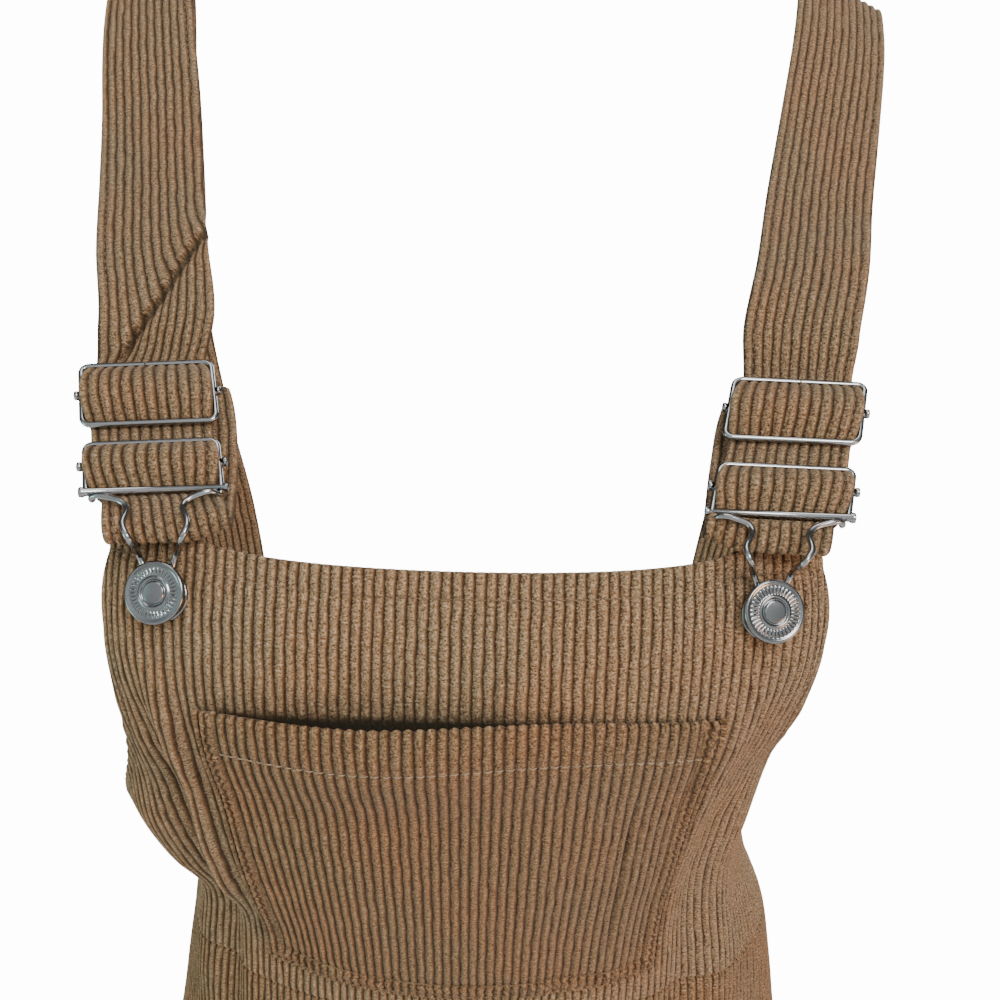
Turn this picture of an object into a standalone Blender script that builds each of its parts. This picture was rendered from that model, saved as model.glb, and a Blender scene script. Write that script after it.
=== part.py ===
"""Overall skirt (pinafore) in wide-wale corduroy, filled out as worn, with nobody in it.

Lengths in this script are millimetres, turned to metres where a mesh is made.
The wearer's front faces -Y, +Z is up and the viewer's right is +X.
The origin is on the centre line, between the straps where they cross the shoulders.
Every panel is a row and column grid laid on one figure: a stack of rounded
sections, each joined to the next by a smooth curve. A place on the figure is given
by its face (front or back), its height and its girth, which is the distance
measured along the cloth from the centre line, positive towards +X.
"""
import math
from collections import namedtuple

import bmesh
import bpy
import numpy as np
from mathutils import Matrix, Vector

MM = 0.001

# cloth
CLOTH = 2.0                 # thickness of one layer, without the wales
SEAM_GAP = 0.3              # between pieces that are sewn together
PASS_GAP = 0.45            # between the strap and the wire that it passes
WALE = 3.175                # 8 wales to the inch
WALE_RISE = 0.35            # how far a wale stands above, and a groove below, the face
COLUMNS_PER_INNER = 4       # columns of the wale side for each column of the plain side

# the figure that fills the garment, in its own frame
SHOULDER = np.array([0.0, 58.0, -12.0])     # where the straps cross the shoulders
SECTION_SAMPLES = 61
Section = namedtuple("Section", "height left right front back square")
FIGURE = [
    Section(-195, 144, 143, 131, 82, 3.1),
    Section(-225, 144, 143, 142, 86, 3.1),
    Section(-255, 141, 133, 142, 88, 2.8),
    Section(-285, 139, 119, 128, 88, 2.5),
    Section(-315, 135, 113, 114, 85, 2.35),
    Section(-335, 124, 110, 104, 82, 2.25),
    Section(-352, 110, 113, 96, 79, 2.2),
    Section(-374, 111, 122, 88, 77, 2.2),
    Section(-395, 114, 126, 86, 78, 2.2),
    Section(-430, 119, 131, 89, 81, 2.2),
    Section(-480, 133, 141, 98, 88, 2.2),
    Section(-560, 156, 160, 116, 102, 2.2),
    Section(-660, 178, 180, 134, 116, 2.1),
    Section(-820, 202, 204, 158, 138, 2.0),
]

# outline of the bib and the back, the same on both sides: half of its width at each height
Edge = namedtuple("Edge", "height front back")
SIDE_EDGE = [
    Edge(-195, 110, 128),
    Edge(-225, 115, 132),
    Edge(-255, 117, 136),
    Edge(-275, 121, 139),
    Edge(-295, 131, 145),
    Edge(-315, 146, 153),
    Edge(-330, 163, 164),
]
ARMHOLE_BOTTOM = -342.0
BACK_ROWS = [-270, -280, -290, -302, -322, -352, -382]
PANEL_ROWS = [-205, -227, -249, -266, -284, -310, -338, -364, -382]
POCKET_FIRST_ROW = 2
POCKET_LAST_ROW = 7
GRAIN_HALF = 102.0          # within this girth the grid's columns follow the wales
FRONT_TOP = -205.5          # bib top at the centre
FRONT_TOP_RISE = 6.3        # how much higher the bib top is near the straps
FRONT_TOP_HALF = 80.0       # girth at which it has risen so far
BACK_TOP = -270.0           # the back's top edge, on which the straps' ends lie
WAIST = -382.0              # waist seam at the centre
WAIST_RISE = 9.0            # how much higher it is at the side seams
HEM = -820.0
GATHER = 0.91               # the wales stand this much closer together at the waist
GATHER_FROM = -250.0

# long soft folds, each a straight line on the figure from its head to its foot
Fold = namedtuple("Fold", "face girth height foot_girth foot_height width depth")
FOLDS = [
    Fold("front", -90, -262, -84, -420, 6, 1.2),
    Fold("front", -100, -282, -92, -430, 9, -4.0),
    Fold("front", -120, -300, -108, -400, 12, 2.2),
    Fold("front", 97, -296, 80, -425, 10, -4.5),
    Fold("front", 112, -290, 98, -410, 12, 2.2),
    Fold("front", 40, -282, 30, -330, 11, 1.4),
    Fold("front", 12, -300, 8, -350, 9, -1.0),
    Fold("front", -103, -203, -101, -245, 12, 2.5),
    Fold("front", 103, -205, 101, -248, 12, 2.5),
    Fold("back", -62, -325, -70, -440, 12, -3.5),
    Fold("back", -14, -300, -20, -375, 12, 1.5),
    Fold("back", 66, -330, 74, -440, 12, -4.0),
]
FOLD_FADE = 26.0            # a fold dies away over this length at each end

# flutes that open from the waist to the hem
Flute = namedtuple("Flute", "face girth width depth start")
FLUTES = [
    Flute("front", -176, 24, 9, -470),
    Flute("front", -118, 26, -11, -440),
    Flute("front", -62, 24, 8, -500),
    Flute("front", -8, 26, -7, -520),
    Flute("front", 50, 25, 9, -470),
    Flute("front", 110, 27, -12, -430),
    Flute("front", 172, 24, 9, -480),
    Flute("back", -170, 25, 8, -470),
    Flute("back", -108, 26, -11, -450),
    Flute("back", -45, 27, 9, -490),
    Flute("back", 20, 24, -8, -500),
    Flute("back", 82, 26, 10, -450),
    Flute("back", 142, 25, -9, -480),
]
FLUTE_SPREAD = 0.35         # share by which a flute is wider at the hem
SEAM_CALM = 26.0            # folds fade out over this girth before a side seam

# pocket on the bib
POCKET_TOP = -249.0         # at the top corners
POCKET_TOP_RISE = 3.0       # how much higher the mouth is cut at its middle
POCKET_HALF = 78.5
POCKET_BOTTOM = -364.0      # at the bottom corners
POCKET_POINT = 8.0          # how much lower the bottom is at the centre
POCKET_MOUTH = 9.2          # how far the mouth stands off the bib
POCKET_MOUTH_GIRTH = -22.0  # where it stands off most
POCKET_MOUTH_WIDTH = 42.0
POCKET_MOUTH_DEPTH = 42.0   # how far down the gape goes

# straps: plane of the buckles, and the stations over the shoulder and down the back
STRAP_WIDTH = 37.4
STRAP_IN_BUCKLE = 35.0      # the strap is drawn in a little where it is threaded
STRAP_WALES = 12
Side = namedtuple("Side", "name sign tilt slider buckle foot outward button")
SIDES = [
    Side("left", 1, 3.7, 4.0, -1.5, 55.6, 0.0, -216.2),
    Side("right", -1, 1.2, 4.2, 1.6, 53.7, 4.9, -216.9),
]
BUCKLE_ORIGIN = np.array([-101.0, -94.5, -159.0])
BUCKLE_FOOT = np.array([-88.5, -133.5, -197.0])
Station = namedtuple("Station", "x y z tilt")
SHOULDER_PATH = [
    Station(-102.0, -78.5, -140.5, 5),
    Station(-107.6, -60.5, -118.5, 6),
    Station(-114.6, -33.0, -94.3, 9),
    Station(-122.0, -4.5, -66.5, 14),
    Station(-127.0, 12.5, -46.0, 19),
    Station(-131.0, 28.5, -27.5, 23),
    Station(-134.0, 43.0, -15.5, 25),
    Station(-137.0, 58.0, -11.5, 25),
    Station(-140.5, 72.0, -15.5, 24),
    Station(-143.5, 85.0, -28.5, 22),
    Station(-146.0, 93.0, -52.0, 21),
    Station(-147.0, 94.0, -98.0, 21),
    Station(-142.0, 84.5, -148.0, 21),
]
TailRow = namedtuple("TailRow", "height off girth")
STRAP_TAIL = [
    TailRow(-192, 8.0, 130),
    TailRow(-234, 3.4, 122),
    TailRow(-270, 0.4, 117),
    TailRow(-280, 0.4, 116),
    TailRow(-290, 0.4, 115),
    TailRow(-302, 0.4, 114),
]

# slider and buckle wire, distances down from the top of the buckle plane
WIRE = 1.0
SLIDER_HALF_WIDTH = 20.4
SLIDER_HALF_HEIGHT = 11.6
SLIDER_BAR = 0.95
CORNER = 2.6
BUCKLE_TOP = 24.8
BUCKLE_BAR_AT = 32.9
BUCKLE_ROD_AT = 42.2
BUCKLE_HALF_WIDTH = 19.9
BUCKLE_BAR = 1.0
BUCKLE_ROD = 1.1
BUCKLE_BAR_REACH = 22.4     # half of the bar's and the rod's length
KNOB = 1.5
LOOP_DEPTH = 5.8            # from the front layer to the back layer
LOOP_BACK_TOP = -1.0

# hook and button
HOOK_WIRE = 0.95
HOOK_SPREAD = 18.6
HOOK_SHIFT = 0.65           # how far the hooks' bends lie towards +X
BUTTON_GIRTH = 89.1
BUTTON_TURN = 10.0          # degrees by which the strap turns it forward from the cloth
BUTTON_RADIUS = 9.3
STEM_RADIUS = 2.3
BASE_RADIUS = 7.4
BASE_SHIFT = 1.0
BASE_THICK = 0.9


# the figure
def column(rows, name, heights):
    """A table's column at the given heights, by a smooth curve through its rows."""
    rows = sorted(rows, key=lambda row: row.height)
    at = np.array([row.height for row in rows], float)
    value = np.array([getattr(row, name) for row in rows], float)
    slope = np.gradient(value, at)
    low = np.clip(np.searchsorted(at, heights) - 1, 0, len(at) - 2)
    step = at[low + 1] - at[low]
    t = np.clip((heights - at[low]) / step, 0, 1)
    start = (2 * t**3 - 3 * t**2 + 1) * value[low] + (t**3 - 2 * t**2 + t) * step * slope[low]
    end = (3 * t**2 - 2 * t**3) * value[low + 1] + (t**3 - t**2) * step * slope[low + 1]
    return start + end


def quarters(face, heights, right):
    """Quarter sections from the centre line to the side line, with their lengths."""
    wide = np.where(right, column(FIGURE, "right", heights), column(FIGURE, "left", heights))
    deep = column(FIGURE, face, heights)
    power = 2 / column(FIGURE, "square", heights)
    u = np.linspace(0, 1, SECTION_SAMPLES)
    angle = math.pi / 2 * u * u * (3 - 2 * u)
    across = wide[:, None] * np.sin(angle) ** power[:, None]
    out = deep[:, None] * np.clip(np.cos(angle), 0, 1) ** power[:, None]
    steps = np.hypot(np.diff(across, axis=1), np.diff(out, axis=1))
    length = np.concatenate([np.zeros((len(heights), 1)), np.cumsum(steps, axis=1)], axis=1)
    return across, out, length


def half_girth(face, heights, right):
    """Distance along the cloth from the centre line to the side seam."""
    heights = np.atleast_1d(np.asarray(heights, float))
    return quarters(face, heights, np.full(len(heights), right))[2][:, -1]


def bare_points(face, heights, girths):
    """Points of the figure without its folds."""
    across, out, length = quarters(face, heights, girths > 0)
    points = np.empty((len(heights), 3))
    forward = -1 if face == "front" else 1
    for i, girth in enumerate(girths):
        reach = abs(girth)
        past = max(reach - length[i, -1], 0)
        points[i, 0] = math.copysign(np.interp(reach, length[i], across[i]), girth)
        points[i, 1] = forward * (np.interp(reach, length[i], out[i]) - past)
        points[i, 2] = heights[i]
    return points


def fold_rise(face, heights, girths):
    """How far folds and flutes move the cloth out of the bare figure."""
    rise = np.zeros(len(heights))
    for fold in FOLDS:
        if fold.face != face:
            continue
        t = (fold.height - heights) / (fold.height - fold.foot_height)
        centre = fold.girth + t * (fold.foot_girth - fold.girth)
        inside = np.minimum(fold.height - heights, heights - fold.foot_height)
        strength = np.clip(inside / FOLD_FADE + 0.5, 0, 1)
        strength = strength * strength * (3 - 2 * strength)
        rise += fold.depth * strength * np.exp(-((girths - centre) / fold.width) ** 2)
    for flute in FLUTES:
        if flute.face != face:
            continue
        grown = np.clip((flute.start - heights) / (flute.start - HEM), 0, 1)
        spread = 1 + FLUTE_SPREAD * grown
        rise += flute.depth * grown * np.exp(-((girths / spread - flute.girth) / flute.width) ** 2)
    right = girths > 0
    room = quarters(face, heights, right)[2][:, -1] - np.abs(girths)
    calm = np.clip(room / SEAM_CALM, 0, 1)
    return rise * calm * calm * (3 - 2 * calm)


def cloth_points(face, heights, girths, rise):
    """Points that stand the given rise off the folded figure, and the normals there."""
    shape = np.shape(girths)
    heights = np.broadcast_to(heights, shape).ravel().astype(float)
    girths = np.ravel(girths).astype(float)
    reach = 1.0
    along = bare_points(face, heights, girths + reach) - bare_points(face, heights, girths - reach)
    up = bare_points(face, heights + reach, girths) - bare_points(face, heights - reach, girths)
    normal = np.cross(along, up)
    if face == "back":
        normal = -normal
    normal /= np.linalg.norm(normal, axis=1)[:, None]
    rise = np.broadcast_to(rise, shape).ravel() + fold_rise(face, heights, girths)
    points = bare_points(face, heights, girths) + rise[:, None] * normal
    return points.reshape(*shape, 3), normal.reshape(*shape, 3)


# meshes
def add_object(name, mesh, material, collection):
    """A new object for a mesh, with its material, in a collection."""
    thing = bpy.data.objects.new(name, mesh)
    mesh.materials.append(material)
    collection.objects.link(thing)
    return thing


def closed_mesh(name, points, faces, smooth_angle=50):
    """A mesh in metres about the shoulder point, with its faces pointing out."""
    mesh = bpy.data.meshes.new(name)
    placed = (np.asarray(points, float) - SHOULDER) * MM
    mesh.from_pydata(placed.tolist(), [], faces)
    shape = bmesh.new()
    shape.from_mesh(mesh)
    bmesh.ops.recalc_face_normals(shape, faces=shape.faces)
    shape.to_mesh(mesh)
    shape.free()
    mesh.shade_smooth()
    mesh.set_sharp_from_angle(angle=math.radians(smooth_angle))
    return mesh


def rim(first, second):
    """Triangles that join two rows of points of unlike counts."""
    faces = []
    i = 0
    j = 0
    while i < len(first) - 1 or j < len(second) - 1:
        next_first = (i + 1) / max(len(first) - 1, 1)
        next_second = (j + 1) / max(len(second) - 1, 1)
        if j == len(second) - 1 or (i < len(first) - 1 and next_first <= next_second):
            faces.append((first[i], first[i + 1], second[j]))
            i += 1
        else:
            faces.append((first[i], second[j + 1], second[j]))
            j += 1
    return faces


def wall(name, outer, inner):
    """A closed wall between two grids with the same rows and any number of columns."""
    rows = len(outer)
    outer_count = outer.shape[1]
    inner_count = inner.shape[1]
    points = np.concatenate([outer.reshape(-1, 3), inner.reshape(-1, 3)])
    front = np.arange(rows * outer_count).reshape(rows, outer_count)
    back = np.arange(rows * inner_count).reshape(rows, inner_count) + rows * outer_count
    faces = []
    for grid in (front, back):
        for i in range(rows - 1):
            for j in range(grid.shape[1] - 1):
                faces.append((grid[i, j], grid[i, j + 1], grid[i + 1, j + 1], grid[i + 1, j]))
    for end in (0, -1):
        faces += rim(front[end].tolist(), back[end].tolist())
        faces += rim(front[:, end].tolist(), back[:, end].tolist())
    faces = [tuple(int(corner) for corner in face) for face in faces]
    return closed_mesh(name, points, faces)


def gather_at(heights):
    """How close together the wales stand: one above the pocket, less at the waist."""
    t = np.clip((GATHER_FROM - heights) / (GATHER_FROM - WAIST), 0, 1)
    return 1 + (GATHER - 1) * t * t * (3 - 2 * t)


def wale_rise(count):
    """Rise of each column when columns lie in turn on a wale and in a groove."""
    return np.where(np.arange(count) % 2 == 0, -WALE_RISE, WALE_RISE)


# panels
def side_edge(face, heights):
    """Half width of a bib at each height, out to the side seam at the armhole's foot."""
    heights = np.asarray(heights, float)
    half = column(SIDE_EDGE, face, heights)
    last = SIDE_EDGE[-1]
    drop = np.clip((last.height - heights) / (last.height - ARMHOLE_BOTTOM), 0, 1)
    seam = np.minimum(half_girth(face, heights, True), half_girth(face, heights, False))
    foot = getattr(last, face)
    swept = foot + (seam - foot) * (1 - np.sqrt(np.clip(1 - drop * drop, 0, 1)))
    return np.where(heights < last.height, swept, half)


def edge_girth(face, heights, right):
    """Signed girth of a panel's side edge, half a seam's gap short of the side seam."""
    seam = half_girth(face, heights, right) - SEAM_GAP / 2
    edge = np.where(heights < ARMHOLE_BOTTOM, seam, np.minimum(side_edge(face, heights), seam))
    return edge if right else -edge


def waist_height(face, girths):
    """Height of the waist seam, which rises a little towards the sides."""
    half = half_girth(face, [WAIST], True)[0]
    t = np.clip(np.abs(girths) / half, 0, 1)
    return WAIST + WAIST_RISE * t * t


def front_top(girths):
    """Height of the bib's top edge, lowest at the centre."""
    t = np.clip(np.abs(girths) / FRONT_TOP_HALF, 0, 1)
    return FRONT_TOP + FRONT_TOP_RISE * (1 - (1 - t * t) ** 0.5)


def back_top(girths):
    """Height of the back's top edge."""
    return np.full(len(girths), BACK_TOP)


def spread_columns(face, heights, grain, margin):
    """Girths of a grid: columns on the wales, then columns spread to each side edge."""
    girths = np.empty_like(heights)
    inside = slice(margin, margin + len(grain))
    girths[:, inside] = grain * gather_at(heights[:, inside])
    for j in range(margin):
        t = (margin - j) / margin
        left = edge_girth(face, heights[:, j], False)
        right = edge_girth(face, heights[:, -1 - j], True)
        girths[:, j] = girths[:, margin] + (left - girths[:, margin]) * t
        girths[:, -1 - j] = girths[:, -1 - margin] + (right - girths[:, -1 - margin]) * t
    return girths


def bent_rows(rows, top, bottom):
    """Level rows whose first and last follow an edge."""
    heights = np.array(rows, float)[:, None] + np.zeros(len(top))
    heights[0] = top
    heights[-1] = bottom
    return heights


def pocket_edges(girths):
    """Heights of the pocket's mouth and foot across the bib, level past its sides."""
    part = np.clip(np.abs(girths) / POCKET_HALF, 0, 1)
    above = POCKET_TOP + POCKET_TOP_RISE * (1 - part**2)
    below = POCKET_BOTTOM - POCKET_POINT * (1 - part**1.6)
    return above, below


def bib(name, face, top, rows, margin, wales):
    """A bib panel, from its top edge to the waist seam."""
    wale_count = int(GRAIN_HALF / WALE)
    grain = np.linspace(-wale_count, wale_count, (4 if wales else 1) * wale_count + 1) * WALE
    columns = len(grain) + 2 * margin
    heights = np.broadcast_to(np.array(rows, float)[:, None], (len(rows), columns))
    for _ in range(3):
        girths = spread_columns(face, heights, grain, margin)
        below = waist_height(face, girths[-1]) + SEAM_GAP / 2
        heights = bent_rows(rows, top(girths[0]), below)
        if wales:
            heights[POCKET_FIRST_ROW] = pocket_edges(girths[POCKET_FIRST_ROW])[0]
            heights[POCKET_LAST_ROW] = pocket_edges(girths[POCKET_LAST_ROW])[1]
    girths = spread_columns(face, heights, grain, margin)
    rise = np.zeros(girths.shape[1])
    if wales:
        rise[margin:margin + len(grain)] = wale_rise(len(grain))
    outer, _ = cloth_points(face, heights, girths, rise[None, :])
    step = COLUMNS_PER_INNER if wales else 2
    keep = inner_columns(girths.shape[1], step)
    inner, _ = cloth_points(face, heights[:, keep], girths[:, keep], -CLOTH)
    return wall(name, outer, inner)


def inner_columns(count, step):
    """Columns kept for the plain side, always with the first and the last."""
    keep = list(range(0, count, step))
    if keep[-1] != count - 1:
        keep.append(count - 1)
    return keep


def skirt(name, face, rows, columns):
    """A skirt panel, from the waist seam to the hem."""
    across = np.linspace(-1, 1, columns)
    levels = np.linspace(0, 1, rows) ** 1.15
    girths = np.empty((rows, columns))
    heights = np.empty((rows, columns))
    heights[:] = WAIST + (HEM - WAIST) * levels[:, None]
    for _ in range(3):
        for j, part in enumerate(across):
            half = half_girth(face, heights[:, j], part > 0) - SEAM_GAP / 2
            girths[:, j] = part * half
        above = waist_height(face, girths) - SEAM_GAP / 2
        heights = above + (HEM - above) * levels[:, None]
    outer, _ = cloth_points(face, heights, girths, 0.0)
    inner, _ = cloth_points(face, heights, girths, -CLOTH)
    return wall(name, outer, inner)


def pocket(name, rows):
    """The patch pocket: the bib's own points, moved out past its wales."""
    wales = int(POCKET_HALF / WALE)
    grain = np.linspace(-wales, wales, 4 * wales + 1) * WALE
    above, below = pocket_edges(grain)
    heights = bent_rows(rows, above, below)
    girths = grain * gather_at(heights)
    mouth = POCKET_MOUTH * np.exp(-((girths - POCKET_MOUTH_GIRTH) / POCKET_MOUTH_WIDTH) ** 2)
    depth = np.clip((heights[0] - heights) / POCKET_MOUTH_DEPTH, 0, 1)
    gape = mouth * (1 - depth * depth * (3 - 2 * depth))
    lying = WALE_RISE + SEAM_GAP + gape
    outer, _ = cloth_points("front", heights, girths, lying + CLOTH + wale_rise(len(grain)))
    keep = inner_columns(len(grain), COLUMNS_PER_INNER)
    inner, _ = cloth_points("front", heights[:, keep], girths[:, keep], lying[:, keep])
    return wall(name, outer, inner)


# straps
def unit(vector):
    """A vector of length one."""
    vector = np.asarray(vector, float)
    return vector / np.linalg.norm(vector)


class BucklePlane:
    """The plane in which one side's slider and buckle lie."""

    def __init__(self, side):
        self.side = side
        mirror = np.array([side.sign, 1, 1])
        self.origin = BUCKLE_ORIGIN * mirror
        self.down = unit((BUCKLE_FOOT - BUCKLE_ORIGIN) * mirror)
        tilt = math.radians(side.tilt) * side.sign
        across = np.array([math.cos(tilt), 0, math.sin(tilt)])
        self.across = unit(across)
        self.out = unit(np.cross(self.down, self.across))

    def at(self, across, down, out):
        """A point from its distances across, down and out of the plane."""
        return self.origin + across * self.across + down * self.down + out * self.out


def eased(nodes, steps):
    """Points between nodes that leave and reach each node level."""
    points = []
    for (down, out), (next_down, next_out) in zip(nodes, nodes[1:]):
        for i in range(steps):
            t = i / steps
            ease = t * t * (3 - 2 * t)
            points.append((down + (next_down - down) * t, out + (next_out - out) * ease))
    points.append(nodes[-1])
    return points


def strap_stations(side, plane):
    """Middle points, across angles and widths of a strap, from its tucked end to the back."""
    half = CLOTH / 2 + PASS_GAP
    under_wire = -(WIRE + WALE_RISE + half)
    under_rod = -(BUCKLE_ROD + WALE_RISE + half)
    over_slider = SLIDER_BAR + half
    over_buckle = BUCKLE_BAR + half
    foot = side.foot
    tucked = [
        (LOOP_BACK_TOP, under_wire - LOOP_DEPTH),
        (20.0, under_wire - LOOP_DEPTH - 0.3),
        (foot - 12.0, -LOOP_DEPTH - 1.6),
        (foot - 3.4, -LOOP_DEPTH - 0.5),
        (foot - 0.7, -LOOP_DEPTH + 0.9),
        (foot, -LOOP_DEPTH / 2 - 0.4),
        (foot - 0.9, -1.9),
        (foot - 3.6, -0.7),
    ]
    threaded = [
        (BUCKLE_ROD_AT + side.buckle, under_rod),
        (BUCKLE_BAR_AT + side.buckle, over_buckle),
        (BUCKLE_TOP + side.buckle, under_wire),
        (side.slider + SLIDER_HALF_HEIGHT, under_wire),
        (side.slider, over_slider),
        (side.slider - SLIDER_HALF_HEIGHT, under_wire),
    ]
    front = tucked + eased([(foot - 7.0, -0.8), threaded[0]], 2)[:-1] + eased(threaded, 2)
    mirror = np.array([side.sign, 1, 1])
    points = [plane.at(0, down, out) for down, out in front]
    tilts = [side.tilt] * len(points)
    widths = [STRAP_IN_BUCKLE] * len(points)
    for i, station in enumerate(SHOULDER_PATH):
        outward = side.outward * min(0.5 + i / 6, 1)
        points.append(np.array([station.x - outward, station.y, station.z]) * mirror)
        tilts.append(station.tilt)
        widths.append(STRAP_WIDTH)
    return np.array(points), np.array(tilts, float), np.array(widths)


def strap_tail(side, wide, rise, keep):
    """Rows of the strap's end, made from the points of the back, moved out."""
    outer = []
    inner = []
    for row in STRAP_TAIL:
        girths = wide - row.girth * side.sign
        heights = np.full(len(wide), float(row.height))
        outer.append(cloth_points("back", heights, girths, row.off + CLOTH + rise)[0])
        inner.append(cloth_points("back", heights[keep], girths[keep], row.off)[0])
    return np.array(outer), np.array(inner)


def strap(name, side):
    """A strap: a ribbon of even width swept along its stations."""
    plane = BucklePlane(side)
    path, lean, widths = strap_stations(side, plane)
    tangents = np.gradient(path, axis=0)
    tangents /= np.linalg.norm(tangents, axis=1)[:, None]
    angle = np.radians(lean) * side.sign
    across = np.stack([np.cos(angle), np.zeros(len(path)), np.sin(angle)], axis=1)
    out = np.cross(across, tangents)
    out /= np.linalg.norm(out, axis=1)[:, None]
    count = 2 * STRAP_WALES + 1
    part = np.linspace(-0.5, 0.5, count)
    wide = widths[:, None, None] * part[None, :, None]
    rise = wale_rise(count)
    faces = out[:, None] * (CLOTH / 2 + rise)[None, :, None]
    outer = path[:, None] + across[:, None] * wide + faces
    keep = inner_columns(count, COLUMNS_PER_INNER)
    inner = path[:, None] + across[:, None] * wide[:, keep] - out[:, None] * (CLOTH / 2)
    tail_outer, tail_inner = strap_tail(side, part * STRAP_WIDTH, rise, keep)
    outer = np.concatenate([outer, tail_outer])
    inner = np.concatenate([inner, tail_inner])
    return wall(name, outer, inner)


# metal
def wire(name, points, radius, closed, material, collection):
    """A bent wire as a mesh, from a curve with a round bevel."""
    data = bpy.data.curves.new(name, "CURVE")
    data.dimensions = "3D"
    data.bevel_depth = radius * MM
    data.bevel_resolution = 1
    data.use_fill_caps = not closed
    spline = data.splines.new("POLY")
    spline.points.add(len(points) - 1)
    placed = (np.asarray(points, float) - SHOULDER) * MM
    for target, point in zip(spline.points, placed):
        target.co = (*point, 1)
    spline.use_cyclic_u = closed
    curve = bpy.data.objects.new(name + "_curve", data)
    bpy.context.scene.collection.objects.link(curve)
    bpy.context.view_layer.update()
    evaluated = curve.evaluated_get(bpy.context.evaluated_depsgraph_get())
    mesh = bpy.data.meshes.new_from_object(evaluated)
    mesh.name = name
    shape = bmesh.new()
    shape.from_mesh(mesh)
    bmesh.ops.remove_doubles(shape, verts=shape.verts, dist=0.00001)
    bmesh.ops.recalc_face_normals(shape, faces=shape.faces)
    shape.to_mesh(mesh)
    shape.free()
    mesh.shade_smooth()
    mesh.set_sharp_from_angle(angle=math.radians(50))
    mesh.materials.clear()
    bpy.data.objects.remove(curve)
    return add_object(name, mesh, material, collection)


def join(target, pieces):
    """Unite pieces with a target by Booleans that stay on it."""
    for piece in pieces:
        piece.hide_render = True
        piece.display_type = "WIRE"
        union = target.modifiers.new("with_" + piece.name, "BOOLEAN")
        union.operation = "UNION"
        union.solver = "EXACT"
        union.object = piece


def rounded_rectangle(half_width, top, bottom, corner, turns):
    """Across and down distances round a rectangle, from its top left corner."""
    outline = []
    centres = [
        (-half_width + corner, top + corner, 180),
        (half_width - corner, top + corner, 270),
        (half_width - corner, bottom - corner, 0),
        (-half_width + corner, bottom - corner, 90),
    ]
    for across, down, start in centres:
        for i in range(turns + 1):
            angle = math.radians(start + 90 * i / turns)
            outline.append((across + corner * math.cos(angle), down + corner * math.sin(angle)))
    return outline


def bar_points(plane, down, half_length):
    """Both ends of a bar that lies across the plane."""
    return [plane.at(-half_length, down, 0), plane.at(half_length, down, 0)]


def slider(name, side, metal, parts, cutters):
    """The slider: a wire frame with a bar across it, headed at both ends."""
    plane = BucklePlane(side)
    top = side.slider - SLIDER_HALF_HEIGHT
    bottom = side.slider + SLIDER_HALF_HEIGHT
    outline = rounded_rectangle(SLIDER_HALF_WIDTH, top, bottom, CORNER, 3)
    points = [plane.at(across, down, 0) for across, down in outline]
    frame = wire(name, points, WIRE, True, metal, parts)
    bar = wire(name + "_bar", bar_points(plane, side.slider, SLIDER_HALF_WIDTH + 1.3),
               SLIDER_BAR, False, metal, cutters)
    heads = bar_heads(name, plane, side.slider, SLIDER_HALF_WIDTH + 1.4, metal, cutters)
    join(frame, [bar] + heads)
    return frame


def bar_heads(name, plane, down, reach, metal, cutters):
    """Two small heads that close a bar's ends."""
    heads = []
    for end, sign in (("a", -1), ("b", 1)):
        points = [plane.at(sign * (reach - 0.1), down, 0), plane.at(sign * (reach + 1.1), down, 0)]
        heads.append(wire(f"{name}_head_{end}", points, KNOB * 0.85, False, metal, cutters))
    return heads


def buckle(name, side, metal, parts, cutters):
    """The buckle: a bent frame, the bar that the strap bulges over, and the hook's rod."""
    plane = BucklePlane(side)
    top = BUCKLE_TOP + side.buckle
    bar_down = BUCKLE_BAR_AT + side.buckle
    rod_down = BUCKLE_ROD_AT + side.buckle
    outline = rounded_rectangle(BUCKLE_HALF_WIDTH, top, rod_down + 6, CORNER, 3)[:8]
    ends = [(-BUCKLE_HALF_WIDTH, rod_down)] + outline + [(BUCKLE_HALF_WIDTH, rod_down)]
    points = [plane.at(across, down, 0) for across, down in ends]
    frame = wire(name, points, WIRE, False, metal, parts)
    bar = wire(name + "_bar", bar_points(plane, bar_down, BUCKLE_BAR_REACH - 0.8),
               BUCKLE_BAR, False, metal, cutters)
    rod = wire(name + "_rod", bar_points(plane, rod_down, BUCKLE_BAR_REACH),
               BUCKLE_ROD, False, metal, cutters)
    pieces = [bar, rod]
    pieces += bar_heads(name, plane, bar_down, BUCKLE_BAR_REACH - 0.7, metal, cutters)
    join(frame, pieces)
    return frame


def button_frame(side):
    """Origin on the bib's wales, and across, down and out directions, at a button."""
    girth = -BUTTON_GIRTH * side.sign
    spot, normal = cloth_points("front", np.array([side.button]), np.array([girth]), WALE_RISE)
    turn = math.radians(BUTTON_TURN) * side.sign
    out = unit(Matrix.Rotation(turn, 3, "Z") @ Vector(normal[0]))
    plane = BucklePlane(side)
    across = unit(plane.across - np.dot(plane.across, out) * out)
    down = unit(np.cross(out, across))
    if down[2] > 0:
        down = -down
    return spot[0], across, down, out


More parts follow.
